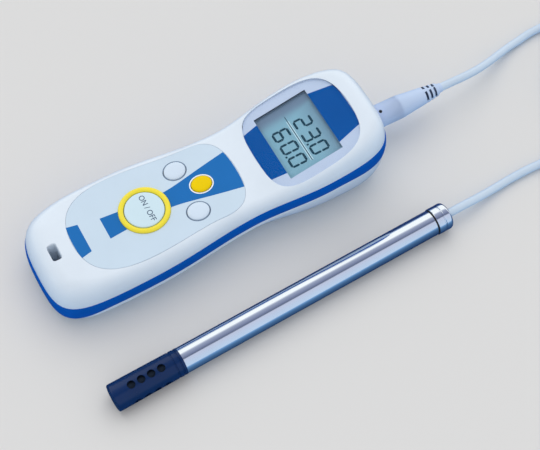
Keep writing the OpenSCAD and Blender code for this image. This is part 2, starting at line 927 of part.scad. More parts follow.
// Least gap between the coil's turns, over points more than half a turn apart
coil_gap = min([for (i = [0:3:len(coil_path) - 1]) for (j = [i + coil_rings / 2:len(coil_path) - 1])
    norm(coil_path[i] - coil_path[j])]) - cord_d;
echo(coil_gap = coil_gap);

function route_length(r) = [for (i = [1:len(r) - 1]) norm(r[i] - r[i - 1])] * [for (i = [1:len(r) - 1]) 1];
echo(cord_length = route_length(meter_route) + route_length(coil_path) + route_length(probe_full));

probe_end = [probe_tip[0], probe_tip[1], rest_r]
    + (guard_length + tube_length + seam_length + cap_length) * [-sin(probe_turn), cos(probe_turn), 0];
probe_full = concat(probe_route, [probe_end]);

module cord_meter_side() {
    color(cord_grey)
        swept_tube(meter_route, cord_r, 8);
}
module cord_coil() {
    color(cord_grey)
        swept_tube(coil_path, cord_r, 6);
}
module cord_probe_side() {
    color(cord_grey)
        swept_tube(probe_full, cord_r, 8);
}

// Probe

module probe_tube() {
    color(steel)
        on_probe(guard_length)
            rotate_extrude($fn = 96)
                polygon([[5.7, 0], [tube_r - 0.2, 0], [tube_r, 0.2], [tube_r, tube_length - 0.2],
                    [tube_r - 0.2, tube_length], [5.7, tube_length]]);
}

module probe_seam() {
    color([0.08, 0.08, 0.1])
        on_probe(guard_length + tube_length)
            difference() {
                cylinder(h = seam_length, r = tube_r - 0.15);
                translate([0, 0, -1])
                    cylinder(h = 4, r = 5.4);
            }
}

module probe_cap() {
    color(steel)
        on_probe(guard_length + tube_length)
            difference() {
                rotate_extrude($fn = 96)
                    polygon([[0, -5], [5.35, -5], [5.35, seam_length], [rest_r - 0.15, seam_length],
                        [rest_r, seam_length + 0.15], [rest_r, 4.4], [rest_r - 0.3, 4.7], [rest_r - 0.3, 5.1],
                        [rest_r, 5.4], [rest_r, seam_length + cap_length - 1.1],
                        [rest_r - 1.1, seam_length + cap_length], [0, seam_length + cap_length]]);
                translate([0, 0, -6])
                    cylinder(h = 5 + seam_length + cap_length, r = cord_r + 0.1);
            }
}

// Perforated guard: four rows of holes, to the top, the sides and the bottom
module sensor_guard() {
    hole_r = 1.6;
    first_hole = 9.8;
    pitch = 5.2;
    color(guard_navy)
        on_probe(0)
            difference() {
                rotate_extrude($fn = 96)
                    polygon([[0, 0], [rest_r - 0.6, 0], [rest_r, 0.6], [rest_r, 2], [tube_r + 0.12, guard_length - 1.9],
                        [tube_r - 0.1, guard_length - 1.7], [tube_r - 0.1, guard_length - 1.3],
                        [tube_r + 0.1, guard_length - 1.1], [tube_r + 0.1, guard_length],
                        [rest_r - guard_wall, guard_length], [rest_r - guard_wall, 1.6], [0, 1.6]]);
                for (row = [0:3], i = [0:3])
                    rotate([0, 0, 90 * row])
                        translate([0, 0, first_hole + pitch * i])
                            rotate([0, 90, 0])
                                cylinder(h = 10, r = hole_r, $fn = 24);
            }
}

module guard_filter() {
    color([0.75, 0.76, 0.78])
        on_probe(2.2)
            difference() {
                cylinder(h = 28.6, r = 5.3);
                translate([0, 0, 0.6])
                    cylinder(h = 40, r = 4.7);
            }
}

module sensor_bush() {
    color([0.15, 0.15, 0.17])
        on_probe(31)
            difference() {
                union() {
                    cylinder(h = guard_length - 31, r = 5.6);
                    cylinder(h = 12, r = 5.65);
                }
                translate([-3.6, -0.6, -1])
                    cube([7.2, 1.2, 20]);
            }
}

module sensor_board() {
    color(board_green)
        on_probe(10)
            translate([-3.5, -0.5, 0])
                cube([7, 1, 58]);
}

module humidity_sensor() {
    color([0.92, 0.93, 0.9])
        on_probe(14)
            difference() {
                translate([-2.5, -2.3, 0])
                    cube([5, 1.8, 6]);
                for (x = [-1.2, 0, 1.2], z = [1.5, 3, 4.5])
                    translate([x, -2.4, z])
                        rotate([-90, 0, 0])
                            cylinder(h = 0.8, r = 0.35, $fn = 16);
            }
}

module temperature_bead() {
    color([0.1, 0.1, 0.1])
        on_probe(8.4)
            union() {
                sphere(r = 1.1);
                for (x = [-0.6, 0.6])
                    translate([x, 0, 0])
                        cylinder(h = 1.6, r = 0.25, $fn = 16);
            }
}

front_shell();
trim_band();
rear_shell();
battery_door();
window_lens();
window_mask();
lcd_glass();
lcd_frame();
contact_strips();
display_board();
display_ribbon();
main_board();
board_chips();
board_screws();
key_overlay();
key_mat();
power_ring();
power_key();
mode_key();
hold_key();
minmax_key();
battery_cells();
battery_springs();
battery_plates();
case_screws();
socket_barrel();
socket_insert();
socket_nut();
socket_leads();
plug_body();
plug_shell();
plug_insert();
plug_pins();
cord_meter_side();
cord_coil();
cord_probe_side();
probe_tube();
probe_seam();
probe_cap();
sensor_guard();
guard_filter();
sensor_bush();
sensor_board();
humidity_sensor();
temperature_bead();
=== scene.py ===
"""Handheld thermo-hygrometer with a plug-in probe on a cord, dressed around its packed frame.

X is the width, Y runs from the grip end to the display end, Z is up. Sketches are in millimetres, and
a finished piece is in metres with its place in its mesh.
"""

import math
from types import SimpleNamespace

import bmesh
import bpy
from bpy.props import FloatProperty, FloatVectorProperty, PointerProperty
from mathutils import Matrix, Vector


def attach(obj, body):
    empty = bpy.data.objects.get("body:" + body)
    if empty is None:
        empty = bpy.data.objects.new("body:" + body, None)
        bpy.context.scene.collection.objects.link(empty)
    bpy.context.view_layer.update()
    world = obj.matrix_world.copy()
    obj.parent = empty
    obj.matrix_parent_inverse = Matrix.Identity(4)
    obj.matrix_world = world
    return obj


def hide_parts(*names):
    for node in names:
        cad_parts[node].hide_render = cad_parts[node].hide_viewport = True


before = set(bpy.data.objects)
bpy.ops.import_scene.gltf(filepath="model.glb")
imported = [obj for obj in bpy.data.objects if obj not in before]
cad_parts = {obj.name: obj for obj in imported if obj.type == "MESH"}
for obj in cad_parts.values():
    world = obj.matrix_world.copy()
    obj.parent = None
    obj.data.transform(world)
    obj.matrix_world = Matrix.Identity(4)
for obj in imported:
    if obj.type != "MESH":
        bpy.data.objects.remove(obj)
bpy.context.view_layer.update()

bl_info = {
    "name": "Handheld hygrometer",
    "version": (1, 0, 0),
    "blender": (4, 5, 0),
    "location": "View3D > Sidebar > Hygrometer",
    "description": "Builds a handheld thermo-hygrometer with its probe and cord",
    "category": "Object",
}

MM = 0.001


# Sizes and colours that a user would change


def paint(code):
    """A colour written as a web code, in linear light."""
    parts = [int(code[i:i + 2], 16) / 255 for i in (1, 3, 5)]
    return tuple(c / 12.92 if c <= 0.04045 else ((c + 0.055) / 1.055) ** 2.4 for c in parts)


def length(title, text, default, low, high):
    """A length property whose numbers are given in millimetres."""
    return FloatProperty(name=title, description=text, default=default * MM, min=low * MM, max=high * MM,
                         precision=5, unit="LENGTH", subtype="DISTANCE")


def colour(title, text, code):
    return FloatVectorProperty(name=title, description=text, default=paint(code), size=3, min=0.0, max=1.0,
                               subtype="COLOR")


def lengths(group):
    """The lengths of a property group, in millimetres."""
    names = [p.identifier for p in group.bl_rna.properties if getattr(p, "unit", "") == "LENGTH"]
    return SimpleNamespace(**{name: getattr(group, name) / MM for name in names})


class HousingSizes(bpy.types.PropertyGroup):
    """The two shells and the band between them"""

    grip_half: length("Grip half width", "Half width at the widest part of the grip", 29.2, 28, 31)
    waist_half: length("Waist half width", "Half width between grip and head", 24.9, 23, 26)
    head_half: length("Head half width", "Half width of the display head", 28.4, 27.5, 30)
    face_height: length("Face height", "Height of the grip's face above the table", 29, 28, 31)
    parting_height: length("Parting height", "Height of the parting edge at the middle", 23, 22.5, 23.5)
    band_height: length("Band height", "Height of the blue band", 9.6, 8, 10)
    wall: length("Wall", "Thickness of the side walls", 2.4, 2, 2.6)
    head_tilt: FloatProperty(name="Head tilt", description="Angle of the display head above the grip's face",
                             default=math.radians(13.7), min=0.0, max=0.4, subtype="ANGLE")


class KeypadSizes(bpy.types.PropertyGroup):
    """The overlay, the ring and the four keys"""

    ring_outer: length("Ring outer radius", "Outer radius of the ring round the power key", 12.5, 12, 13)
    ring_inner: length("Ring inner radius", "Inner radius of the ring round the power key", 9.9, 9.5, 10)
    key_half: length("Key half width", "Half width of the left and of the right oval key", 4.7, 4.5, 5.2)
    key_long: length("Key half length", "Half length of the left and of the right oval key", 5.4, 5.2, 6)
    hold_half: length("Middle key half width", "Half width of the middle oval key", 4.25, 4, 5)
    hold_long: length("Middle key half length", "Half length of the middle oval key", 5.1, 5, 5.8)
    key_dome: length("Key dome", "How far a key stands above the face", 1.0, 0.8, 1.6)
    legend_width: length("Legend width", "Width of the words on the power key", 15, 12, 16)
    overlay_thick: length("Overlay", "Thickness of the keypad overlay", 0.5, 0.3, 0.6)


class DisplaySizes(bpy.types.PropertyGroup):
    """The window and what is under it"""

    window_width: length("Opening width", "Width of the opening over the display", 37.6, 36, 38)
    window_height: length("Opening height", "Height of the opening over the display", 29, 28, 30)
    lens_thick: length("Lens", "Thickness of the clear lens", 1.5, 1, 2)
    figure_height: length("Figure height", "Height of a row of figures", 9.2, 8, 10)
    figure_width: length("Figure width", "Width of one figure", 5.2, 4.5, 6)


class ProbeSizes(bpy.types.PropertyGroup):
    """The probe that lies beside the meter"""

    tube_radius: length("Tube radius", "Radius of the steel tube", 6.5, 6, 6.7)
    rest_radius: length("Rest radius", "Radius of the guard's tip and of the end cap", 6.85, 6.8, 6.9)
    guard_length: length("Guard length", "Length of the perforated guard", 36, 34, 38)
    tube_length: length("Tube length", "Length of the steel tube", 140, 120, 150)
    cap_length: length("Cap length", "Length of the end cap past its seam", 8.4, 8, 9)
    hole_radius: length("Hole radius", "Radius of the guard's holes", 1.95, 1.2, 2.1)


class CordSizes(bpy.types.PropertyGroup):
    """The cord and the coil of its unseen length"""

    diameter: length("Cord diameter", "Diameter of the cord", 4.2, 4, 4.3)
    coil_outer: length("Coil radius", "Radius of the coil's outer turn, to the cord's middle", 28.4, 28, 29)
    coil_pitch: length("Coil pitch", "Distance between turns side by side", 4.8, 4.6, 5)
    coil_layer: length("Coil layer", "Height from one layer to the next", 4.7, 4.6, 5)


class FinishColours(bpy.types.PropertyGroup):
    """Colours of the object's finishes"""

    shell: colour("Shell", "Pale moulded plastic of both shells", "#e0ebf7")
    band: colour("Band", "Blue band between the shells", "#005abb")
    overlay: colour("Overlay", "Pale film of the keypad", "#cbdeef")
    print_blue: colour("Keypad blue", "Blue printed on the keypad", "#2270ba")
    window_blue: colour("Window blue", "Blue printed under the window", "#0254a4")
    window_border: colour("Window border", "Pale border printed under the window", "#c0d0ea")
    ring: colour("Ring", "Yellow ring round the power key", "#f8e63c")
    hold: colour("Hold key", "Yellow oval key", "#f0cf08")
    key: colour("Keys", "White oval keys", "#d4e4f5")
    power: colour("Power key", "Disc of the power key", "#d0e8f4")
    lcd: colour("Display ground", "Ground of the display", "#85b4c9")
    ink: colour("Display figures", "Figures on the display", "#1d4356")
    plug: colour("Plug", "Moulded plug", "#c0d3f0")
    cord: colour("Cord", "Jacket of the cord", "#cbdcee")
    guard: colour("Guard", "Perforated guard", "#03285a")
    steel: colour("Steel", "Polished steel of the probe", "#e2e6ee")
    floor: colour("Floor", "Floor and backdrop", "#dcdcdc")


# Sketching helpers


def curve(a, b, c, d, steps):
    """Points of a cubic curve from a towards d, without d."""
    a, b, c, d = (Vector(p) for p in (a, b, c, d))
    points = []
    for i in range(steps):
        t = i / steps
        points.append(a * (1 - t) ** 3 + 3 * b * t * (1 - t) ** 2 + 3 * c * t * t * (1 - t) + d * t ** 3)
    return points


def mirrored(half):
    """A closed outline from its right half, which starts and ends on the axis."""
    return half + [Vector((-p.x, p.y)) for p in reversed(half[1:-1])]


def inset(outline, depth):
    """The outline moved inwards by a number, or by a function of y."""
    moved = []
    for i, point in enumerate(outline):
        along = (outline[(i + 1) % len(outline)] - outline[i - 1]).normalized()
        distance = depth(point.y) if callable(depth) else depth
        moved.append(point + distance * Vector((-along.y, along.x)))
    return moved


def smooth(u):
    c = max(0.0, min(1.0, u))
    return c * c * (3 - 2 * c)


def ramp(v, blend):
    """Zero below -blend, then a smooth turn into a straight rise."""
    if v < -blend:
        return 0.0
    return v if v > blend else (v + blend) ** 2 / (4 * blend)


def oval(a, b, steps=48):
    turns = [2 * math.pi * i / steps for i in range(steps)]
    return [Vector((a * math.sin(t), -b * math.cos(t))) for t in turns]


def rounded(half_x, half_y, radius, steps=6):
    """A rectangle with round corners, anticlockwise."""
    points = []
    for sx, sy, start in ((1, -1, -90), (1, 1, 0), (-1, 1, 90), (-1, -1, 180)):
        centre = Vector((sx * (half_x - radius), sy * (half_y - radius)))
        for i in range(steps + 1):
            a = math.radians(start + 90 * i / steps)
            points.append(centre + radius * Vector((math.cos(a), math.sin(a))))
    return points


# Solids


def add_loop(bm, points):
    verts = [bm.verts.new(p) for p in points]
    edges = [bm.edges.new((verts[i - 1], verts[i])) for i in range(len(verts))]
    return SimpleNamespace(verts=verts, edges=edges)


def loft(rings, closed=False, ends=None):
    """Walls bridged from ring to ring. closed joins the last to the first, and ends closes both ends."""
    bm = bmesh.new()
    loops = [add_loop(bm, ring) for ring in rings]
    follow = loops[1:] + loops[:1] if closed else loops[1:]
    for here, there in zip(loops, follow):
        bmesh.ops.bridge_loops(bm, edges=here.edges + there.edges)
    if ends:
        ends(bm, loops[0])
        ends(bm, loops[-1])
    bmesh.ops.recalc_face_normals(bm, faces=bm.faces)
    return bm


def flat_end(bm, loop):
    bmesh.ops.contextual_create(bm, geom=loop.edges)


def ladder_end(bm, loop):
    """Flat strips between mirrored points, so that a face that bends only along y stays true."""
    verts = loop.verts
    half = len(verts) // 2
    right = [bm.edges.get((verts[i], verts[i + 1])) for i in range(1, half - 1)]
    left = [bm.edges.get((verts[-i], verts[-i - 1])) for i in range(1, half - 1)]
    bmesh.ops.bridge_loops(bm, edges=right + left)
    for tip in (0, half):
        bm.faces.new((verts[tip - 1], verts[tip], verts[tip + 1]))


def prism(outline, low, high):
    """A closed solid over a flat outline."""
    return loft([[(p[0], p[1], z) for p in outline] for z in (low, high)], ends=flat_end)


def block(x, y, z):
    """A box between two values on each axis."""
    return prism([(x[0], y[0]), (x[1], y[0]), (x[1], y[1]), (x[0], y[1])], z[0], z[1])


def turned(profile, steps=96, ring=False):
    """A solid turned about Z from points (radius, height). ring joins the last point to the first."""
    bm = bmesh.new()
    verts = [bm.verts.new((r, 0, z)) for r, z in profile]
    edges = [bm.edges.new(pair) for pair in zip(verts, verts[1:])]
    if ring:
        edges.append(bm.edges.new((verts[-1], verts[0])))
    bmesh.ops.spin(bm, geom=verts + edges, cent=(0, 0, 0), axis=(0, 0, 1), angle=2 * math.pi, steps=steps,
                   use_merge=True)
    bmesh.ops.remove_doubles(bm, verts=bm.verts, dist=1e-4)
    bmesh.ops.recalc_face_normals(bm, faces=bm.faces)
    return bm


def cylinder(radius, low, high, steps=96):
    return turned([(0, low), (radius, low), (radius, high), (0, high)], steps)


def at(x, y, lean=0.0):
    """A place on the table, with a turn about the vertical."""
    return Matrix.Translation((x, y, 0)) @ Matrix.Rotation(lean, 4, "Z")


def moved(bm, matrix):
    bmesh.ops.transform(bm, matrix=matrix, verts=bm.verts)
    return bm


def joined(parts):
    """Several separate solids in one bmesh."""
    whole = bmesh.new()
    for part in parts:
        mesh = bpy.data.meshes.new("part")
        part.to_mesh(mesh)
        part.free()
        whole.from_mesh(mesh)
        bpy.data.meshes.remove(mesh)
    return whole


def scratch_object(bm):
    mesh = bpy.data.meshes.new("scratch")
    bm.to_mesh(mesh)
    bm.free()
    piece = bpy.data.objects.new("scratch", mesh)
    bpy.context.scene.collection.objects.link(piece)
    return piece


def combined(bm, others, operation="DIFFERENCE"):
    """A solid cut by other closed solids, or joined with them, one after another."""
    target = scratch_object(bm)
    tools = [scratch_object(other) for other in others]
    for tool in tools:
        change = target.modifiers.new("change", "BOOLEAN")
        change.operation = operation
        change.solver = "MANIFOLD"
        change.object = tool
    result = bmesh.new()
    result.from_object(target, bpy.context.evaluated_depsgraph_get())
    for piece in [target, *tools]:
        mesh = piece.data
        bpy.data.objects.remove(piece)
        bpy.data.meshes.remove(mesh)
    bmesh.ops.remove_doubles(result, verts=result.verts, dist=1e-4)
    if not result.faces:
        raise RuntimeError("A solid was lost while it was cut or joined")
    return result


def finished(bm, name, material, body, nodes=(), bevel=0.0, sharp=32):
    """Makes a sketch in millimetres a piece in metres that rides on a body and stands for CAD nodes."""
    bmesh.ops.scale(bm, vec=(MM, MM, MM), verts=bm.verts)
    bmesh.ops.recalc_face_normals(bm, faces=bm.faces)
    mesh = bpy.data.meshes.new(name)
    bm.to_mesh(mesh)
    bm.free()
    mesh.shade_smooth()
    mesh.set_sharp_from_angle(angle=math.radians(sharp))
    mesh.materials.append(material)
    piece = bpy.data.objects.new(name, mesh)
    bpy.context.scene.collection.objects.link(piece)
    if bevel:
        rim = piece.modifiers.new("rim", "BEVEL")
        rim.width = bevel * MM
        rim.segments = 2
        rim.limit_method = "ANGLE"
        rim.angle_limit = math.radians(40)
        rim.harden_normals = True
    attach(piece, body)
    if nodes:
        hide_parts(*nodes)
    return piece


# Side view and outline of the meter

GRIP_END = -90.2
HEAD_END = 89.9
PARTING_SLOPE = 0.087
PARTING_SAG = 1.9
SAG_MIDDLE = 14
SAG_HALF = 55
BEND_Y = 23.3
BEND_BLEND = 8
FACE_WALL = 2.8
BACK_WALL = 2.2
LIP = 1.5
BAND_WALL = 1.5
BAND_EDGE = 0.7
LIP_GAP = 0.1
BEAD_HIGH = 2.3
LENS_Y = 51.7
LENS_PROUD = 0.3
WINDOW_MIDDLE = -2.5
MASK_THICK = 0.3


def front_shoulder(y):
    """Width of the round shoulder of the front shell, which grows towards both ends."""
    return 5.3 - 0.014 * y + 4 * smooth((-60 - y) / 28) + 5.5 * smooth((y - 58) / 32)


class Housing:
    """The meter's outline, side view and rings."""

    def __init__(self, scene):
        self.size = lengths(scene.hygro_housing)
        self.tilt = scene.hygro_housing.head_tilt
        s = self.size
        grip, waist, head = s.grip_half, s.waist_half, s.head_half
        self.outline = mirrored(
            curve((0, GRIP_END), (grip - 3.2, GRIP_END), (grip, -87), (grip, -42), 26)
            + curve((grip, -42), (grip, -20), (waist, -6), (waist, 14), 18)
            + curve((waist, 14), (waist, 27), (head, 40), (head, 54), 18)
            + curve((head, 54), (head, 89), (head - 7, HEAD_END), (0, HEAD_END), 26)
            + [Vector((0, HEAD_END))])

    def parting_z(self, y):
        u = abs(y - SAG_MIDDLE) / SAG_HALF
        sag = PARTING_SAG * math.cos(math.pi / 2 * u) ** 2 if u < 1 else 0
        return self.size.parting_height + PARTING_SLOPE * y - sag

    def face_z(self, y):
        return self.size.face_height + math.tan(self.tilt) * ramp(y - BEND_Y, BEND_BLEND)

    def floor_z(self, y):
        return BACK_WALL + 0.16 * ramp(-58 - y, 3)

    def front_ring(self, angle, base=0.0, less=0.0, drop=0.0):
        """A ring of the front shell at an angle of its shoulder."""
        a = math.radians(angle)
        points = inset(self.outline, lambda y: base + (front_shoulder(y) - less) * (1 - math.cos(a)))
        return [(p.x, p.y, self.parting_z(p.y) * (1 - math.sin(a)) + (self.face_z(p.y) - drop) * math.sin(a))
                for p in points]

    def rear_ring(self, angle, base=0.0, less=0.0, inside=False):
        """A ring of the rear shell, which turns in under the band."""
        a = math.radians(angle)

        def depth(y):
            tuck = 0.72 * (1 - smooth((y - 5) / 40))
            shoulder = 11 - 3 * smooth((abs(y) - 45) / 35)
            return base + (shoulder - less) * (1 - (1 - tuck) * math.cos(a) - tuck * (1 - angle / 90))

        points = inset(self.outline, depth)
        return [(p.x, p.y, (self.parting_z(p.y) - self.size.band_height) * (1 - math.sin(a))
                 + (self.floor_z(p.y) * math.sin(a) if inside else 0)) for p in points]

    def edge_ring(self, depth, up):
        """A ring along the parting edge. How far in and how far up are numbers or functions of y."""
        return [(p.x, p.y, self.parting_z(p.y) + (up(p.y) if callable(up) else up))
                for p in inset(self.outline, depth)]

    def bead(self, y):
        """Height of the rear shell's bead, which takes the band's lower part along the middle."""
        return 0.1 + BEAD_HIGH * smooth((y + 86) / 24) * (1 - smooth((y - 55) / 25))

    def band_low(self, y):
        return self.bead(y) - self.size.band_height

    def head(self):
        """The frame of the tilted head: its origin is on the middle of the lens."""
        high = self.face_z(LENS_Y) + LENS_PROUD / math.cos(self.tilt)
        return Matrix.Translation((0, LENS_Y, high)) @ Matrix.Rotation(self.tilt, 4, "X")


SHOULDER = [10 * i for i in range(10)]

LENS_OUTLINE = mirrored(curve((0, -26.2), (23.5, -26.2), (24.35, -21.5), (24.35, -1), 24)
                        + curve((24.35, -1), (24.35, 18.5), (21, 26.2), (0, 26.2), 28) + [Vector((0, 26.2))])
OVERLAY_OUTLINE = mirrored(curve((0, -70.4), (18.5, -70.4), (24.1, -59.5), (24.1, -41), 24)
                           + curve((24.1, -41), (24.1, -28), (21.2, -14), (21.2, -3), 12)
                           + curve((21.2, -3), (21.6, 9), (18.5, 15.8), (0, 15.8), 24) + [Vector((0, 15.8))])

# Places shared by the shells and the keypad
POWER_Y = -33
HOLD_Y = -2.8
SIDE_KEY = (12.55, -10.8)
SIDE_KEY_LEAN = math.radians(4)
KEY_GAP = 0.35
FLANGE_LEVELS = (23.5, 24.6, 25.8)
SLOT_Y = -79.6
SLOT_HALF = (4.3, 2.2)
SLOT_CORNER = 1.2
CASE_POSTS = [(-18.5, -76), (18.5, -76), (-15, 76), (15, 76)]
SCREW_SEAT_Z = 6
BAY_HALF = 15.3
BAY_Y = (-70.2, -13.6)
BAY_RIB = 1.4
DOOR_HALF = 16.8
DOOR_Y = (-70.8, -12)
DOOR_THICK = 2
DOOR_GAP = 0.2
TONGUE_HALF = 18
TONGUE_Z = (1.1, 1.9)
STEP_PROFILE = [(-69.5, -1), (-69.5, 0), (-71.7, 2.2), (-95, 6.1), (-95, -1)]

# Socket and plug, on one axis along Y
PLUG_Z = 15.7
FLANGE_Y = 89
FLANGE_R = 5.4
BARREL_R = 4.9
PLUG_START = 92.1
PLUG_END = 132.9
PLUG_R = 6
KNURL_START = 6.0
KNURL_ROW = 0.55
KNURL_ROWS = 18
KNURL_STEPS = 72
KNURL_DEEP = 0.16


def on_plug(y):
    return Matrix.Translation((0, y, PLUG_Z)) @ Matrix.Rotation(-math.pi / 2, 4, "X")


def oval_keys(keys):
    """Place, half width and half length of the left, middle and right oval key."""
    x, y = SIDE_KEY
    return [(at(-x, y, SIDE_KEY_LEAN), keys.key_half, keys.key_long),
            (at(0, HOLD_Y), keys.hold_half, keys.hold_long),
            (at(x, y, -SIDE_KEY_LEAN), keys.key_half, keys.key_long)]


def key_prisms(keys, grow, low, high):
    return [moved(prism(oval(a + grow, b + grow), low, high), place) for place, a, b in oval_keys(keys)]


def oval_ring(a, b, width, low, high):
    """A thin print round an oval."""
    return combined(prism(oval(a + width, b + width), low, high), [prism(oval(a, b), low - 1, high + 1)])


def slot_prism(grow, low, high):
    outline = rounded(SLOT_HALF[0] + grow, SLOT_HALF[1] + grow, SLOT_CORNER)
    return moved(prism(outline, low, high), at(0, SLOT_Y))


def slot_mouth(face):
    """The rounded mouth of the strap slot."""
    rings = []
    for up, grow in ((-1.1, -0.01), (-0.55, 0.06), (-0.22, 0.22), (0.01, 0.45), (0.6, 0.45)):
        outline = rounded(SLOT_HALF[0] + grow, SLOT_HALF[1] + grow, SLOT_CORNER + grow)
        rings.append([(p.x, p.y + SLOT_Y, face + up) for p in outline])
    return loft(rings, ends=flat_end)


# Materials


def feed(tree, node, inputs):
    """Gives inputs of a node, by name or by place, a value or the output of another node."""
    for key, value in inputs.items():
        if isinstance(value, bpy.types.NodeSocket):
            tree.links.new(value, node.inputs[key])
        else:
            node.inputs[key].default_value = value


def add_node(tree, kind, inputs=None, **settings):
    made = tree.nodes.new(kind)
    for name, value in settings.items():
        setattr(made, name, value)
    feed(tree, made, inputs or {})
    return made


def mixed(tree, factor, first, second):
    """The first colour where the factor is 0, and the second where it is 1."""
    return add_node(tree, "ShaderNodeMix", {0: factor, 6: first, 7: second}, data_type="RGBA").outputs[2]


def blended(tree, factor, first, second):
    """The first shader where the factor is 0, and the second where it is 1."""
    return add_node(tree, "ShaderNodeMixShader", {0: factor, 1: first, 2: second}).outputs[0]


def reckoned(tree, operation, first, second):
    return add_node(tree, "ShaderNodeMath", {0: first, 1: second}, operation=operation).outputs[0]


def ranged(tree, value, low, high, bottom=0.0, top=1.0, **settings):
    """A value's place between low and high, as a value between bottom and top."""
    inputs = {"Value": value, "From Min": low, "From Max": high, "To Min": bottom, "To Max": top}
    return add_node(tree, "ShaderNodeMapRange", inputs, **settings).outputs[0]


def ramped(tree, value, stops):
    """A row of colours along a value from 0 to 1."""
    made = add_node(tree, "ShaderNodeValToRGB", {"Fac": value})
    row = made.color_ramp.elements
    while len(row) < len(stops):
        row.new(0.5)
    for element, (position, tone) in zip(row, stops):
        element.position = position
        element.color = (*tone, 1)
    return made.outputs["Color"]


def noise(tree, vector, scale, detail, roughness):
    inputs = {"Vector": vector, "Scale": scale, "Detail": detail, "Roughness": roughness}
    return add_node(tree, "ShaderNodeTexNoise", inputs).outputs["Fac"]


def new_group(label, inputs, outputs):
    """A shader node group. Its inputs are given as their defaults, and None stands for a vector."""
    tree = bpy.data.node_groups.new(label, "ShaderNodeTree")
    kinds = {type(None): "Vector", float: "Float", tuple: "Color"}
    for name, default in inputs.items():
        kind = "NodeSocket" + kinds[type(default)]
        socket = tree.interface.new_socket(name=name, in_out="INPUT", socket_type=kind)
        if default is not None:
            socket.default_value = default
    for name, kind in outputs.items():
        tree.interface.new_socket(name=name, in_out="OUTPUT", socket_type="NodeSocket" + kind)
    return tree, tree.nodes.new("NodeGroupInput").outputs, tree.nodes.new("NodeGroupOutput")


def mottle_group(label):
    """Two colours and two roughnesses mixed by soft clouds."""
    tree, given, result = new_group(
        label, {"Vector": None, "Scale": 40.0, "Light": (0.8, 0.8, 0.8, 1), "Dark": (0.6, 0.6, 0.6, 1),
                "Smooth": 0.3, "Rough": 0.4}, {"Color": "Color", "Roughness": "Float"})
    clouds = noise(tree, given["Vector"], given["Scale"], 4.0, 0.6)
    colour = mixed(tree, ranged(tree, clouds, 0.32, 0.68), given["Light"], given["Dark"])
    gloss = ranged(tree, clouds, 0.3, 0.7, given["Smooth"], given["Rough"])
    feed(tree, result, {"Color": colour, "Roughness": gloss})
    return tree


def grain_group(label):
    """The fine texture of a moulded surface, as a height."""
    tree, given, result = new_group(label, {"Vector": None, "Scale": 1500.0}, {"Height": "Float"})
    feed(tree, result, {"Height": noise(tree, given["Vector"], given["Scale"], 2.0, 0.7)})
    return tree


def scratch_group(label):
    """Fine lines that run along Y, as a height."""
    inputs = {"Vector": None, "Across": 2600.0, "Along": 25.0}
    tree, given, result = new_group(label, inputs, {"Height": "Float"})
    scale = add_node(tree, "ShaderNodeCombineXYZ", {"X": given["Across"], "Y": given["Along"],
                                                    "Z": given["Across"]}).outputs[0]
    stretched = add_node(tree, "ShaderNodeVectorMath", {0: given["Vector"], 1: scale}, operation="MULTIPLY")
    feed(tree, result, {"Height": noise(tree, stretched.outputs[0], 1.0, 3.0, 0.55)})
    return tree


GROUPS = {"mottle": mottle_group, "grain": grain_group, "scratch": scratch_group}


def effect(tree, name, inputs):
    """Places one of the shared effects, which is built the first time that it is asked for."""
    label = "hygro_" + name
    group = bpy.data.node_groups.get(label) or GROUPS[name](label)
    return add_node(tree, "ShaderNodeGroup", inputs, node_tree=group).outputs


def new_material(name):
    """A material with a Principled shader, and the place on the piece that its patterns read."""
    material = bpy.data.materials.new(name)
    material.use_nodes = True
    tree = material.node_tree
    tree.nodes.clear()
    shader = tree.nodes.new("ShaderNodeBsdfPrincipled")
    output = add_node(tree, "ShaderNodeOutputMaterial", {"Surface": shader.outputs["BSDF"]})
    place = tree.nodes.new("ShaderNodeTexCoord").outputs["Object"]
    return SimpleNamespace(material=material, tree=tree, shader=shader, output=output, place=place)


def solid(tone, factor=1.0):
    """A colour as a shader's socket holds it, darkened by a factor."""
    return (*(c * factor for c in tone[:3]), 1)


def clouded(name, light, dark, rough, clouds=45.0):
    """A new material whose colour and roughness change in soft clouds."""
    m = new_material(name)
    look = effect(m.tree, "mottle", {"Vector": m.place, "Scale": clouds, "Light": light, "Dark": dark,
                                     "Smooth": rough[0], "Rough": rough[1]})
    feed(m.tree, m.shader, {"Base Color": look["Color"], "Roughness": look["Roughness"]})
    m.colour = look["Color"]
    return m


def bumped(m, height, strength, depth):
    inputs = {"Height": height, "Strength": strength, "Distance": depth * MM}
    feed(m.tree, m.shader, {"Normal": add_node(m.tree, "ShaderNodeBump", inputs).outputs["Normal"]})


def moulded(name, tone, darker=0.93, rough=(0.3, 0.4), grain=1400.0, depth=0.012, metallic=0.0, gleam=0.4):
    """Moulded plastic, rubber, printed film or plated metal: soft clouds over a fine grain."""
    m = clouded(name, solid(tone), solid(tone, darker), rough)
    bumped(m, effect(m.tree, "grain", {"Vector": m.place, "Scale": grain})["Height"], 0.5, depth)
    feed(m.tree, m.shader, {"Metallic": metallic, "Specular IOR Level": gleam})
    return m.material


def printed(name, tone, darker=0.93, rough=(0.3, 0.36), gleam=0.4):
    """Printed film, which is smoother than moulded plastic."""
    return moulded(name, tone, darker, rough, 2600.0, 0.006, gleam=gleam)


def polished(name, tone):
    """Steel polished along its length."""
    m = clouded(name, solid(tone), solid(tone, 0.95), (0.07, 0.13), 60.0)
    lines = effect(m.tree, "scratch", {"Vector": m.place, "Across": 2600.0, "Along": 18.0})
    bumped(m, lines["Height"], 0.2, 0.003)
    feed(m.tree, m.shader, {"Metallic": 1.0})
    return m.material


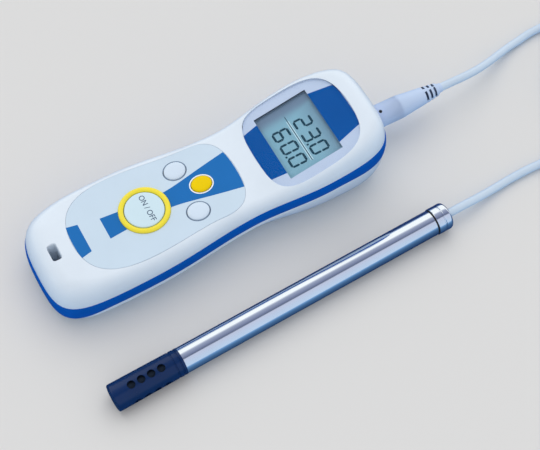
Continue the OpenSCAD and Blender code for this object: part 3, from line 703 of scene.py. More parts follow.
def clear_plate(name):
    """Clear acrylic, which lets light through to what is under it."""
    m = clouded(name, (0.97, 0.985, 1, 1), (0.95, 0.97, 0.99, 1), (0.02, 0.05), 50.0)
    feed(m.tree, m.shader, {"IOR": 1.16, "Transmission Weight": 1.0})
    ray = add_node(m.tree, "ShaderNodeLightPath").outputs
    lit = reckoned(m.tree, "MAXIMUM", ray["Is Shadow Ray"], ray["Is Diffuse Ray"])
    open_way = add_node(m.tree, "ShaderNodeBsdfTransparent").outputs["BSDF"]
    feed(m.tree, m.output, {"Surface": blended(m.tree, lit, m.shader.outputs["BSDF"], open_way)})
    return m.material


def display_ground(tone):
    """The display's ground, with a painted shadow of the window's rim: darker under the window's left and
    far edges.
    """
    m = clouded("display_ground", solid(tone), solid(tone, 0.95), (0.25, 0.32))
    place = add_node(m.tree, "ShaderNodeSeparateXYZ", {"Vector": m.place}).outputs
    # Painted shade: the ground darkens towards the window's left edge and, less, towards its far edge, as
    # the rim's shadow would.
    left = ranged(m.tree, place["X"], -9 * MM, -16 * MM, interpolation_type="SMOOTHSTEP")
    far = ranged(m.tree, place["Y"], 54 * MM, 64 * MM, 0.0, 0.6)
    painted_shade = reckoned(m.tree, "MAXIMUM", left, far)
    shaded_ground = mixed(m.tree, painted_shade, m.colour, solid(paint("#6e86a0")))
    feed(m.tree, m.shader, {"Base Color": shaded_ground, "Specular IOR Level": 0.2})
    return m.material


class Finishes:
    """The materials of the object, each made once."""

    def __init__(self, colours):
        self.shell = moulded("shell_plastic", colours.shell, 0.955, (0.27, 0.36))
        self.band = moulded("band_plastic", colours.band, 0.9, gleam=0.05)
        self.overlay = printed("overlay_film", colours.overlay, 0.965)
        self.print_blue = printed("overlay_blue", colours.print_blue, gleam=0.08)
        self.print_white = printed("overlay_white", paint("#f6faff"), 0.97, (0.3, 0.4))
        # Painted shade: a grey print that stands for the shade in the gap round the left and right keys.
        self.print_grey = printed("overlay_gap_shade", paint("#74869f"), 0.95, (0.3, 0.4))
        self.window_blue = moulded("window_blue", colours.window_blue, 0.94, gleam=0.03)
        self.window_border = moulded("window_border", colours.window_border, 0.96)
        self.ring = moulded("ring_yellow", colours.ring, 0.92, (0.22, 0.3))
        self.hold = moulded("hold_yellow", colours.hold, 0.92, (0.2, 0.28), gleam=0.08)
        self.key = moulded("key_white", colours.key, 0.96, (0.2, 0.28))
        self.power = moulded("power_disc", colours.power, 0.96, (0.25, 0.33))
        self.legend = moulded("legend_ink", paint("#33496a"), 0.9)
        self.lens = clear_plate("clear_acrylic")
        self.lcd = display_ground(colours.lcd)
        self.light_ink = moulded("display_light", paint("#c4e2ee"), 0.95, gleam=0.1)
        self.ink = moulded("display_ink", colours.ink, 0.9, gleam=0.1)
        self.plug = moulded("plug_plastic", colours.plug, 0.95, (0.4, 0.52), 1800.0, 0.03)
        # Painted shade: a dark grey-blue that darkens the sides of the plug's slots, where shade falls.
        self.relief = moulded("relief_painted_shade", paint("#66748f"), 0.85, (0.5, 0.6), gleam=0.1)
        self.cord = moulded("cord_jacket", colours.cord, 0.95, (0.36, 0.46))
        self.guard = moulded("guard_plastic", colours.guard, 0.8, (0.2, 0.3), gleam=0.28)
        self.steel = polished("polished_steel", colours.steel)
        self.black = moulded("black_plastic", paint("#15161a"), 0.7, (0.35, 0.5))


def finishes(context):
    """The finishes, made the first time that an operator asks for them."""
    if not hasattr(finishes, "made"):
        finishes.made = Finishes(context.scene.hygro_colours)
    return finishes.made


# Pieces of the meter


class HYGRO_OT_front_casing(bpy.types.Operator):
    """Front shell with its rounded shoulder, recesses, key openings and strap slot"""

    bl_idname = "hygro.front_casing"
    bl_label = "Front casing"

    def execute(self, context):
        h = Housing(context.scene)
        keys = lengths(context.scene.hygro_keypad)
        window = lengths(context.scene.hygro_display)
        wall, face = h.size.wall, h.size.face_height
        seat = BAND_WALL + LIP_GAP
        rings = [h.front_ring(a, wall, 0.8, FACE_WALL) for a in reversed(SHOULDER)]
        rings += [h.edge_ring(wall, -LIP), h.edge_ring(seat, -LIP), h.edge_ring(seat, 0)]
        rings += [h.front_ring(a) for a in SHOULDER]
        casing = loft(rings, ends=ladder_end)
        casing = combined(casing, [slot_prism(1.6, 8, face - FACE_WALL + 0.4)], "UNION")
        lens_bottom = -window.lens_thick - MASK_THICK
        casing = combined(casing, [
            prism(inset(OVERLAY_OUTLINE, -0.16), face - keys.overlay_thick, face + 2),
            moved(prism(inset(LENS_OUTLINE, -0.18), lens_bottom, 6), h.head())])
        casing = combined(casing, [
            *key_prisms(keys, KEY_GAP, face - 4, face + 0.5),
            moved(cylinder(keys.ring_inner + 0.3, face - 4, face + 1), at(0, POWER_Y)),
            slot_prism(0, 0, face + 1), slot_mouth(face),
            moved(prism(inset(LENS_OUTLINE, 2.2), -8, 5), h.head())])
        finished(casing, "front_casing", finishes(context).shell, "meter", ["front_shell"])
        return {"FINISHED"}


class HYGRO_OT_side_band(bpy.types.Operator):
    """Blue band round the parting of the two shells"""

    bl_idname = "hygro.side_band"
    bl_label = "Side band"

    def execute(self, context):
        h = Housing(context.scene)
        # Each point of the section: how far in it is, how far down the band, and how far above that
        section = [(BAND_WALL, 0, 0), (BAND_WALL, 1, 0), (-0.1, 1, 0), (-0.42, 1, 0.12)]
        for t in (0, 0.2, 0.4, 0.6, 0.8, 1):
            section.append((-0.6 - 0.3 * math.sin(math.pi * t), 1 - t, BAND_EDGE * (1 - 2 * t)))
        section += [(-0.42, 0, -0.12), (-0.1, 0, 0)]
        rings = [h.edge_ring(depth, lambda y, share=share, more=more: share * h.band_low(y) + more)
                 for depth, share, more in section]
        finished(loft(rings, closed=True), "side_band", finishes(context).band, "meter",
                 ["trim_band"], sharp=50)
        return {"FINISHED"}


class HYGRO_OT_rear_casing(bpy.types.Operator):
    """Rear shell with its battery bay, screw wells, strap slot and socket opening"""

    bl_idname = "hygro.rear_casing"
    bl_label = "Rear casing"

    def execute(self, context):
        h = Housing(context.scene)
        wall = h.size.wall
        seat = BAND_WALL + LIP_GAP

        def lip(y):
            return h.band_low(y) + LIP

        rings = [h.rear_ring(a, wall, 1.2, True) for a in reversed(SHOULDER)]
        rings += [h.edge_ring(wall, lip), h.edge_ring(seat, lip), h.edge_ring(seat, h.band_low)]
        rings += [h.edge_ring(lambda y, out=out: -out * smooth(h.bead(y)),
                              lambda y, down=down: h.band_low(y) - down * h.bead(y))
                  for out, down in ((0.35, 0), (0.6, 0.15), (0.6, 0.75))]
        rings += [h.rear_ring(a) for a in SHOULDER]
        casing = loft(rings, ends=ladder_end)
        near, far = BAY_Y
        bay = (-BAY_HALF, BAY_HALF)
        ribs = [block(bay, span, (1, 12)) for span in ((near - BAY_RIB, near), (far, far + BAY_RIB))]
        ribs += [block(span, (near - BAY_RIB, far + BAY_RIB), (DOOR_THICK + 0.1, 3.4))
                 for span in ((BAY_HALF, 19), (-19, -BAY_HALF))]
        posts = [moved(cylinder(3.4, 1, 12, 48), at(x, y)) for x, y in CASE_POSTS]
        casing = combined(casing, [*ribs, slot_prism(1.4, 1, 7.8), *posts], "UNION")
        well = [(0, -1), (2.5, -1), (2.5, SCREW_SEAT_Z), (1.4, SCREW_SEAT_Z), (1.4, 20), (0, 20)]
        wells = [moved(turned(well, 48), at(x, y)) for x, y in CASE_POSTS]
        barrel, flange = BARREL_R + 0.1, FLANGE_R + 0.1
        socket = turned([(0, -10), (barrel, -10), (barrel, 0), (flange, 0), (flange, 4), (0, 4)])
        way = (-100, DOOR_Y[1] + DOOR_GAP)
        door_way, tongue_way = DOOR_HALF + DOOR_GAP, TONGUE_HALF + DOOR_GAP
        casing = combined(casing, [
            back_step(), slot_prism(0, -1, 12),
            block((-door_way, door_way), way, (-1, DOOR_THICK + 0.1)),
            block((-tongue_way, tongue_way), way, (TONGUE_Z[0] - 0.1, DOOR_THICK + 0.1)),
            block(bay, BAY_Y, (-1, 4.5)), *wells, moved(socket, on_plug(FLANGE_Y))])
        finished(casing, "rear_casing", finishes(context).shell, "meter", ["rear_shell"])
        return {"FINISHED"}


def back_step():
    """What is cut from the back behind the battery door."""
    turn = Matrix.Rotation(math.pi / 2, 4, "Z") @ Matrix.Rotation(math.pi / 2, 4, "X")
    return moved(prism([Vector(p) for p in STEP_PROFILE], -50, 50), turn)


class HYGRO_OT_battery_lid(bpy.types.Operator):
    """Battery door with its tongues and grip grooves"""

    bl_idname = "hygro.battery_lid"
    bl_label = "Battery lid"

    def execute(self, context):
        h = Housing(context.scene)
        body = loft([h.rear_ring(a) for a in reversed(SHOULDER)], ends=ladder_end)
        body = combined(body, [back_step()])
        lid = combined(block((-DOOR_HALF, DOOR_HALF), DOOR_Y, (-1, DOOR_THICK)), [body], "INTERSECT")
        tongues = [block(span, (DOOR_Y[0] + 6, DOOR_Y[1] - 4), TONGUE_Z)
                   for span in ((DOOR_HALF - 1, TONGUE_HALF), (-TONGUE_HALF, 1 - DOOR_HALF))]
        lid = combined(lid, tongues, "UNION")
        grooves = []
        for i in range(5):
            half = 10 - abs(i - 2)
            groove = moved(cylinder(0.9, -half, half, 24), Matrix.Rotation(math.pi / 2, 4, "Y"))
            grooves.append(moved(groove, Matrix.Translation((0, DOOR_Y[0] + 5 + 2.4 * i, -0.4))))
        lid = combined(lid, grooves)
        finished(lid, "battery_lid", finishes(context).shell, "door", ["battery_door"])
        return {"FINISHED"}


class HYGRO_OT_window(bpy.types.Operator):
    """Clear lens over its printed border and two blue panels"""

    bl_idname = "hygro.window"
    bl_label = "Window"

    def execute(self, context):
        h = Housing(context.scene)
        look = finishes(context)
        window = lengths(context.scene.hygro_display)
        head = h.head()
        top = -window.lens_thick
        lens = moved(prism(LENS_OUTLINE, top, 0), head)
        finished(lens, "clear_lens", look.lens, "meter", ["window_lens"], bevel=0.25)
        half, reach = window.window_width / 2, window.window_height / 2
        low, high = WINDOW_MIDDLE - reach, WINDOW_MIDDLE + reach
        border = combined(prism(LENS_OUTLINE, top - MASK_THICK, top - 0.08),
                          [block((-half, half), (low, high), (-9, 9))])
        finished(moved(border, head), "window_border", look.window_border, "meter", ["window_mask"])
        upper = [(-15.9, high), (15.6, high), (12.8, 25.1),
                 *curve((12.8, 25.1), (8, 25.75), (4, 26), (0, 26), 8),
                 *curve((0, 26), (-4, 26), (-8, 25.75), (-12.9, 25.1), 8)[1:], (-12.9, 25.1)]
        lower = [(-14.1, -25.9), (13.8, -25.9), (15.2, low), (-15.6, low)]
        for name, outline in (("upper_panel", upper), ("lower_panel", lower)):
            panel = prism(outline, top - 0.08, top - 0.03)
            finished(moved(panel, head), name, look.window_blue, "meter")
        return {"FINISHED"}


SEGMENTS = {"0": "abcdef", "2": "abdeg", "3": "abcdg", "6": "acdefg"}
GLASS_TOP = -3.4
BAR_THICK = 1.15
FIGURE_SLANT = 0.09
FIGURE_LEFTS = (-7.5, 0.55, 8.55)
DOT_X = 7.0
DIVIDER_Y = -3.35


def bar(start, end):
    """A pointed bar of a seven-segment figure."""
    start, end = Vector(start), Vector(end)
    along = (end - start).normalized()
    side = Vector((-along.y, along.x)) * BAR_THICK / 2
    reach = along * BAR_THICK / 2
    return [start, start + reach - side, end - reach - side, end, end - reach + side, start + reach + side]


def figure(digit, left, foot, width, height):
    """The bars of one figure, as flat outlines."""
    right, middle, top = left + width, foot + height / 2, foot + height
    gap = BAR_THICK * 0.06
    ends = {
        "a": ((left + gap, top), (right - gap, top)), "b": ((right, middle + gap), (right, top - gap)),
        "c": ((right, foot + gap), (right, middle - gap)), "d": ((left + gap, foot), (right - gap, foot)),
        "e": ((left, foot + gap), (left, middle - gap)), "f": ((left, middle + gap), (left, top - gap)),
        "g": ((left + gap, middle), (right - gap, middle)),
    }
    return [bar(*ends[name]) for name in SEGMENTS[digit]]


class HYGRO_OT_display(bpy.types.Operator):
    """Display cell with two rows of seven-segment figures and the divider lines"""

    bl_idname = "hygro.display"
    bl_label = "Display"

    def execute(self, context):
        h = Housing(context.scene)
        look = finishes(context)
        window = lengths(context.scene.hygro_display)
        head = h.head()
        cell = moved(block((-21, 21), (-20, 15), (GLASS_TOP - 2, GLASS_TOP)), head)
        finished(cell, "display_cell", look.lcd, "meter", ["lcd_glass"], bevel=0.15)
        parts = []
        high = window.figure_height - BAR_THICK
        for digits, foot, height in (("230", -1.2, high), ("600", -13.2, high - 0.4)):
            outlines = []
            for digit, left in zip(digits, FIGURE_LEFTS):
                outlines += figure(digit, left, foot, window.figure_width - 0.35, height)
            corners = ((-0.5, -0.5), (0.5, -0.5), (0.5, 0.5), (-0.5, 0.5))
            outlines.append([Vector((DOT_X + x, foot + y)) for x, y in corners])
            for outline in outlines:
                lean = [(p.x + FIGURE_SLANT * (p.y - foot), p.y) for p in outline]
                parts.append(prism(lean, GLASS_TOP, GLASS_TOP + 0.04))
        line = (DIVIDER_Y - 0.16, DIVIDER_Y + 0.16)
        parts.append(block((-12.5, 15.2), line, (GLASS_TOP, GLASS_TOP + 0.04)))
        finished(moved(joined(parts), head), "display_figures", look.ink, "meter")
        light = [block((-9.5, 15.2), (y - 0.2, y + 0.2), (GLASS_TOP, GLASS_TOP + 0.03))
                 for y in (DIVIDER_Y - 0.5, DIVIDER_Y + 0.5)]
        finished(moved(joined(light), head), "display_divider", look.light_ink, "meter")
        return {"FINISHED"}


class HYGRO_OT_overlay(bpy.types.Operator):
    """Keypad overlay and the blue shapes printed on it"""

    bl_idname = "hygro.overlay"
    bl_label = "Keypad overlay"

    def execute(self, context):
        look = finishes(context)
        keys = lengths(context.scene.hygro_keypad)
        top = lengths(context.scene.hygro_housing).face_height
        low = top - keys.overlay_thick
        ring_r = keys.ring_outer + 0.1
        openings = [moved(cylinder(ring_r, low - 1, top + 1), at(0, POWER_Y)),
                    *key_prisms(keys, KEY_GAP, low - 1, top + 1)]
        sheet = combined(prism(OVERLAY_OUTLINE, low, top), openings)
        finished(sheet, "keypad_overlay", look.overlay, "meter", ["key_overlay"])
        (left, a, b), (middle, c, d), (right, _, _) = oval_keys(keys)
        for name, outline in blue_shapes(ring_r).items():
            shape = prism(outline, top, top + 0.04)
            if name == "wedge_print":
                shape = combined(shape, [moved(prism(oval(c + 0.8, d + 0.8), top - 1, top + 1), middle)])
            finished(shape, name, look.print_blue, "meter")
        surround = moved(oval_ring(c + KEY_GAP, d + KEY_GAP, 0.6, top, top + 0.05), middle)
        finished(surround, "hold_surround", look.print_white, "meter")
        # Painted shade: a thin grey ring round the left and right keys, standing for the shade in their
        # gaps.
        outlines = [moved(oval_ring(a + KEY_GAP, b + KEY_GAP, 0.28, top, top + 0.04), place)
                    for place in (left, right)]
        finished(joined(outlines), "key_gap_shade", look.print_grey, "meter")
        return {"FINISHED"}


def blue_shapes(ring_r):
    """Outlines of the three blue prints: the wedge, the short bar and the arc at the grip end."""
    def ring_edge(half, sign, steps=10):
        reach = math.asin(half / ring_r)
        return [Vector((ring_r * math.sin(t), POWER_Y + sign * ring_r * math.cos(t)))
                for t in (-reach + 2 * reach * i / steps for i in range(steps + 1))]

    side = curve((4.55, -21.4), (4.9, -14), (7.5, -6), (11.0, 14.5), 14)
    crown = curve((11.0, 14.5), (6, 15.9), (-6, 15.9), (-11.0, 14.5), 16)
    left_side = [Vector((-p.x, p.y)) for p in reversed(side)]
    wedge = side[1:] + crown + [Vector((-11.0, 14.5))] + left_side[:-1] + ring_edge(4.5, 1)
    bar_shape = ring_edge(5.3, -1) + [Vector((6.1, -53.5)), Vector((-6.0, -53.5))]
    foot = curve((-9.1, -69.5), (-4, -70.5), (4, -70.5), (9.1, -69.5), 14)
    arc = foot + [Vector((9.1, -69.5)), Vector((7.9, -64.0)), Vector((-8.0, -64.0))]
    return {"wedge_print": wedge, "bar_print": bar_shape, "arc_print": arc}


class HYGRO_OT_keys(bpy.types.Operator):
    """Power key in its yellow ring, and the three oval keys"""

    bl_idname = "hygro.keys"
    bl_label = "Keys"

    def execute(self, context):
        look = finishes(context)
        keys = lengths(context.scene.hygro_keypad)
        face = lengths(context.scene.hygro_housing).face_height
        inner, outer = keys.ring_inner, keys.ring_outer
        middle, half = (inner + outer) / 2, (outer - inner) / 2
        low = face - keys.overlay_thick
        edge = low + 0.8
        section = [(inner, low), (outer, low), (outer, edge)]
        for turn in (math.radians(a) for a in range(15, 180, 15)):
            section.append((middle + half * math.cos(turn), edge + 0.8 * math.sin(turn)))
        section.append((inner, edge))
        finished(moved(turned(section, 128, ring=True), at(0, POWER_Y)), "power_collar", look.ring, "meter",
                 ["power_ring"])
        r, top = inner - 0.3, face + keys.key_dome - 0.15
        foot, low, high = FLANGE_LEVELS
        disc = [(0, foot), (4, foot), (4, low), (r + 1.6, low), (r + 1.6, high), (r, high), (r, top - 0.5),
                (r - 0.08, top - 0.25), (r - 0.25, top - 0.08), (r - 0.5, top), (r - 1.5, top - 0.02),
                (0, top - 0.05)]
        finished(moved(turned(disc, 128), at(0, POWER_Y)), "power_button", look.power, "power",
                 ["power_key"])
        three = (("mode", look.key, "key_white"), ("hold", look.hold, "yellow"),
                 ("minmax", look.key, "key_white"))
        for (body, material, slot), (place, a, b) in zip(three, oval_keys(keys)):
            cap = oval_key(a, b, face + keys.key_dome)
            finished(moved(cap, place), body + "_button", material, body, [body + "_key"])
        legend(look.legend, keys.legend_width, top - 0.01)
        return {"FINISHED"}


def oval_key(a, b, top):
    """An oval key: foot, flange under the shell, and a crowned cap."""
    foot, low, high = FLANGE_LEVELS
    edge = top - 0.8
    levels = [(3, 3, foot), (3, 3, low), (a + 1, b + 1, low), (a + 1, b + 1, high), (a, b, high),
              (a, b, edge)]
    for i in range(1, 9):
        turn = math.radians(11.0 * i)
        narrower = math.cos(turn) ** 0.45
        levels.append((a * narrower, b * narrower, edge + 0.8 * math.sin(turn)))
    return loft([[(p.x, p.y, z) for p in oval(x, y, 64)] for x, y, z in levels], ends=flat_end)


def legend(material, width, height):
    """ON / OFF on the power key, as a thin print."""
    text = bpy.data.curves.new("legend", "FONT")
    text.body = "ON / OFF"
    text.align_x = "CENTER"
    text.align_y = "CENTER"
    text.size = 3.9
    text.extrude = 0.03
    holder = bpy.data.objects.new("legend", text)
    bpy.context.scene.collection.objects.link(holder)
    flat = bpy.data.meshes.new_from_object(holder.evaluated_get(bpy.context.evaluated_depsgraph_get()))
    print_mesh = bmesh.new()
    print_mesh.from_mesh(flat)
    bpy.data.meshes.remove(flat)
    bpy.data.objects.remove(holder)
    across = max(v.co.x for v in print_mesh.verts) * 2
    bmesh.ops.scale(print_mesh, vec=(width / across, 1, 1), verts=print_mesh.verts)
    moved(print_mesh, Matrix.Translation((0, POWER_Y + 1.5, height)))
    bmesh.ops.remove_doubles(print_mesh, verts=print_mesh.verts, dist=1e-4)
    finished(print_mesh, "power_legend", material, "power")


class HYGRO_OT_plug(bpy.types.Operator):
    """Moulded plug with its slotted relief and index dot"""

    bl_idname = "hygro.plug"
    bl_label = "Plug"

    def execute(self, context):
        look = finishes(context)
        size = PLUG_END - PLUG_START
        # The knurled rows follow the smooth wall's far end and go back under it
        rows = [(PLUG_R, KNURL_START + KNURL_ROW * i) for i in range(KNURL_ROWS)]
        profile = [(0, 1.5), (4.35, 1.5), (4.35, 0), (PLUG_R - 0.5, 0), (PLUG_R - 0.15, 0.15), (PLUG_R, 0.5),
                   (PLUG_R, 15.5), *rows, (5.94, 17), (5.7, 18.6), (5.3, 22), (4.9, 26), (4.35, 31),
                   (3.7, 36), (3.4, 37.8), (3.0, 38.6), (2.5, 38.9), (2.35, size), (0, size)]
        slots = []
        for y in (30.3, 32.9, 35.5):
            for side in range(4):
                cut = block((1.5, 6), (-2.4, 2.4), (y, y + 1.3))
                slots.append(moved(cut, at(0, 0, math.radians(45 + 90 * side))))
        body = combined(knurled(turned(profile, KNURL_STEPS)), slots)
        plug = finished(moved(body, on_plug(PLUG_START)), "plug_moulding", look.plug, "probe",
                        ["plug_body"])
        # The sides of the slots get the dark material, a painted shade in the slots.
        plug.data.materials.append(look.relief)
        for face in plug.data.polygons:
            face.material_index = int(in_shaded_relief(face))
        dot = turned([(0, -0.3), (0.85, -0.3), (0.85, 0), (0.7, 0.05), (0, 0.08)], 32)
        place = on_plug(PLUG_START + 4.25) @ Matrix.Rotation(math.radians(-78.7), 4, "Z")
        place = place @ Matrix.Translation((PLUG_R, 0, 0)) @ Matrix.Rotation(math.pi / 2, 4, "Y")
        finished(moved(dot, place), "plug_dot", look.black, "probe")
        return {"FINISHED"}


def in_shaded_relief(face):
    """Whether a face is a side of a slot in the relief, which gets the painted shade: square to the axis and
    inside the cone.
    """
    along = face.center.y / MM - PLUG_START
    across = (face.center.xz - Vector((0, PLUG_Z * MM))).length
    return 30 < along < 37.2 and across < (7.1 - 0.1 * along) * MM and abs(face.normal.y) > 0.9


def knurled(bm):
    """Lowers every second point of the plug's close rows, which makes small diamonds."""
    for v in bm.verts:
        row = (v.co.z - KNURL_START) / KNURL_ROW
        if -0.1 < row < KNURL_ROWS - 0.9 and v.co.xy.length > PLUG_R - 0.01:
            step = math.atan2(v.co.y, v.co.x) / (2 * math.pi) * KNURL_STEPS
            if (round(row) + round(step)) % 2:
                v.co.xy *= (PLUG_R - KNURL_DEEP) / PLUG_R
    return bm


# Cord

METER_ROUTE = [
    (0, 132.9, 15.7), (0, 141, 15.7), (-0.7, 149, 14.4), (-2.7, 158, 11.6), (-5.4, 166.5, 8.6),
    (-8.5, 174.5, 5.4), (-11.3, 182.8, 3), (-13, 191, 2.1), (-14.3, 199, 2.1), (-14.6, 207, 2.1),
    (-14.5, 216, 2.1), (-12.2, 225, 2.1), (-7, 233, 2.1), (0.5, 239, 2.1), (10, 242.8, 2.1),
    (20, 244.3, 2.1), (28, 244.4, 2.1),
]
PROBE_ROUTE = [
    (61.4, 211, 6.8), (61.2, 203, 5.6), (60.5, 194, 3.4), (59.4, 186, 2.3), (58, 177, 2.1),
    (56.9, 168, 2.1), (56.2, 159, 2.1), (56, 150, 2.1), (56.4, 141, 2.1), (57.3, 132, 2.6),
    (58.4, 124, 3.9), (59.5, 116, 5.7), (60.2, 108, 6.85),
]
COIL_MIDDLE = (33, 216)
COIL_TURNS = 5.25
COIL_RINGS = 24
PROBE_TIP = (69.7, -85.2)
PROBE_TURN = math.radians(2.82)
SEAM_LENGTH = 0.8
GUARD_TURN = 7.5
HOLE_START = 9.8
HOLE_PITCH = 5.2


def on_probe(sizes, along):
    """The probe's frame, whose Z runs from the tip to the cord."""
    return (Matrix.Translation((*PROBE_TIP, sizes.rest_radius)) @ Matrix.Rotation(PROBE_TURN, 4, "Z")
            @ Matrix.Translation((0, along, 0)) @ Matrix.Rotation(-math.pi / 2, 4, "X"))


def coil_points(cord):
    """The coil spirals in and out again, and climbs a layer in the half turn where it reverses."""
    points = []
    for i in range(int(COIL_TURNS * COIL_RINGS) + 1):
        turn = i / COIL_RINGS
        from_middle = turn - COIL_TURNS / 2
        r = cord.coil_outer - cord.coil_pitch * (COIL_TURNS / 2 - abs(from_middle))
        a = math.radians(90 - 360 * turn)
        z = cord.diameter / 2 + cord.coil_layer * smooth(0.5 + 2 * from_middle)
        points.append((COIL_MIDDLE[0] + r * math.cos(a), COIL_MIDDLE[1] + r * math.sin(a), z))
    return points


class HYGRO_OT_cord(bpy.types.Operator):
    """Cord from the plug over the coil to the probe"""

    bl_idname = "hygro.cord"
    bl_label = "Cord"

    def execute(self, context):
        cord = lengths(context.scene.hygro_cord)
        probe = lengths(context.scene.hygro_probe)
        along = probe.guard_length + probe.tube_length + SEAM_LENGTH + probe.cap_length
        end = on_probe(probe, along).translation
        route = METER_ROUTE + coil_points(cord) + PROBE_ROUTE + [tuple(end)]
        line = bpy.data.curves.new("probe_cord", "CURVE")
        line.dimensions = "3D"
        line.bevel_depth = cord.diameter / 2 * MM
        line.bevel_resolution = 3
        line.resolution_u = 5
        line.use_fill_caps = True
        spline = line.splines.new("BEZIER")
        spline.bezier_points.add(len(route) - 1)
        for point, place in zip(spline.bezier_points, route):
            point.co = Vector(place) * MM
            point.handle_left_type = "AUTO"
            point.handle_right_type = "AUTO"
        line.materials.append(finishes(context).cord)
        piece = bpy.data.objects.new("probe_cord", line)
        context.scene.collection.objects.link(piece)
        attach(piece, "probe")
        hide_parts("cord_meter_side", "cord_coil", "cord_probe_side")
        return {"FINISHED"}


class HYGRO_OT_probe(bpy.types.Operator):
    """Steel tube, seam ring, end cap and perforated guard"""

    bl_idname = "hygro.probe"
    bl_label = "Probe"

    def execute(self, context):
        look = finishes(context)
        p = lengths(context.scene.hygro_probe)
        r, rest, size = p.tube_radius, p.rest_radius, p.tube_length
        tube = [(5.7, 0), (r - 0.2, 0), (r - 0.06, 0.06), (r, 0.2), (r, size - 0.2), (r - 0.06, size - 0.06),
                (r - 0.2, size), (5.7, size)]
        finished(moved(turned(tube, 160, ring=True), on_probe(p, p.guard_length)), "steel_tube", look.steel,
                 "probe", ["probe_tube"])
        cap_end = SEAM_LENGTH + p.cap_length
        bore = lengths(context.scene.hygro_cord).diameter / 2 + 0.1
        cap = [(bore, -5), (5.35, -5), (5.35, SEAM_LENGTH), (rest - 0.15, SEAM_LENGTH),
               (rest, SEAM_LENGTH + 0.15), (rest, 4.3), (rest - 0.35, 4.6), (rest - 0.35, 4.95),
               (rest, 5.25)]
        for turn in (math.radians(a) for a in range(0, 91, 15)):
            cap.append((rest - 2.2 + 2.2 * math.cos(turn), cap_end - 1.8 + 1.8 * math.sin(turn)))
        cap.append((bore, cap_end))
        tube_end = on_probe(p, p.guard_length + size)
        finished(moved(turned(cap, 160, ring=True), tube_end), "steel_cap", look.steel, "probe",
                 ["probe_cap"])
        seam = [(5.4, 0), (r - 0.15, 0), (r - 0.15, SEAM_LENGTH), (5.4, SEAM_LENGTH)]
        finished(moved(turned(seam, ring=True), tube_end), "seam_ring", look.black, "probe",
                 ["probe_seam"])
        finished(moved(guard_body(p), on_probe(p, 0)), "tip_guard", look.guard, "probe",
                 ["sensor_guard"], bevel=0.12)
        return {"FINISHED"}


def guard_body(p):
    """The guard with four rows of four holes."""
    rest, r, size, wall = p.rest_radius, p.tube_radius, p.guard_length, 1.2
    grooves = []
    for y in (size - 4.6, size - 1.9):
        grooves += [(r + 0.14, y), (r - 0.12, y + 0.2), (r - 0.12, y + 0.6), (r + 0.12, y + 0.8)]
    shape = turned([(0, 0), (rest - 1.0, 0.08), (rest - 0.4, 0.2), (rest - 0.1, 0.5), (rest, 0.9),
                    (rest, 2.4), *grooves, (r + 0.1, size), (rest - wall, size), (rest - wall, 1.6),
                    (0, 1.6)], 128)
    holes = []
    for row in range(4):
        turn = math.radians(90 * row + GUARD_TURN)
        for i in range(4):
            place = (Matrix.Rotation(turn, 4, "Z") @ Matrix.Translation((0, 0, HOLE_START + HOLE_PITCH * i))
                     @ Matrix.Rotation(math.pi / 2, 4, "Y"))
            holes.append(moved(cylinder(p.hole_radius, 0, 10, 32), place))
    return combined(shape, [joined(holes)])


class HYGRO_OT_inner_parts(bpy.types.Operator):
    """Materials of the inner pieces, which keep their own shapes"""

    bl_idname = "hygro.inner_parts"
    bl_label = "Inner parts"

    def execute(self, context):
        look = finishes(context)
        nickel = moulded("nickel_plate", paint("#c9ccd1"), 0.9, (0.18, 0.3), metallic=1.0)
        board = moulded("circuit_board", paint("#1c6b3f"), 0.75, (0.25, 0.4))
        sintered = moulded("sintered_filter", paint("#3a4450"), 0.8, (0.5, 0.7), 3000.0, 0.06, 1.0)
        wearers = (
            (look.black, "lcd_frame board_chips socket_insert sensor_bush temperature_bead"),
            (look.key, "plug_insert humidity_sensor"),
            (nickel, "board_screws battery_springs battery_plates case_screws"),
            (nickel, "socket_barrel socket_nut plug_shell"),
            (board, "display_board main_board sensor_board"),
            (moulded("key_rubber", paint("#8d9299"), 0.9, (0.6, 0.75)), "contact_strips key_mat"),
            (moulded("gold_plate", paint("#d9b45a"), 0.9, (0.2, 0.3), metallic=1.0), "plug_pins"),
            (moulded("cell_sleeve", paint("#5d6a78"), 0.85, (0.25, 0.4)), "battery_cells"),
            (moulded("flat_cable", paint("#c78a3c"), 0.9, (0.25, 0.4)), "display_ribbon"),
            (moulded("lead_jacket", paint("#b32222"), 0.9), "socket_leads"),
            (sintered, "guard_filter"),
        )
        for material, nodes in wearers:
            for node in nodes.split():
                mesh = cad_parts[node].data
                mesh.materials.clear()
                mesh.materials.append(material)
        return {"FINISHED"}


# Stage

CAMERA_PLACE = (0.31493, -0.13721, 0.60169)
CAMERA_RIGHT = (0.478465, 0.878107, 0.000047)
CAMERA_UP = (-0.767416, 0.418125, 0.486050)
CAMERA_AHEAD = (-0.426784, 0.232594, -0.873931)
CAMERA_LENS = 93.221
ROOM_LEVEL = 0.76
LAMP_LEVEL = 0.864

# Colours of the floor in the light that it throws back, and of the floor and the room in mirrors
FLOOR_BOUNCE = (0.52, 0.76, 1.0)
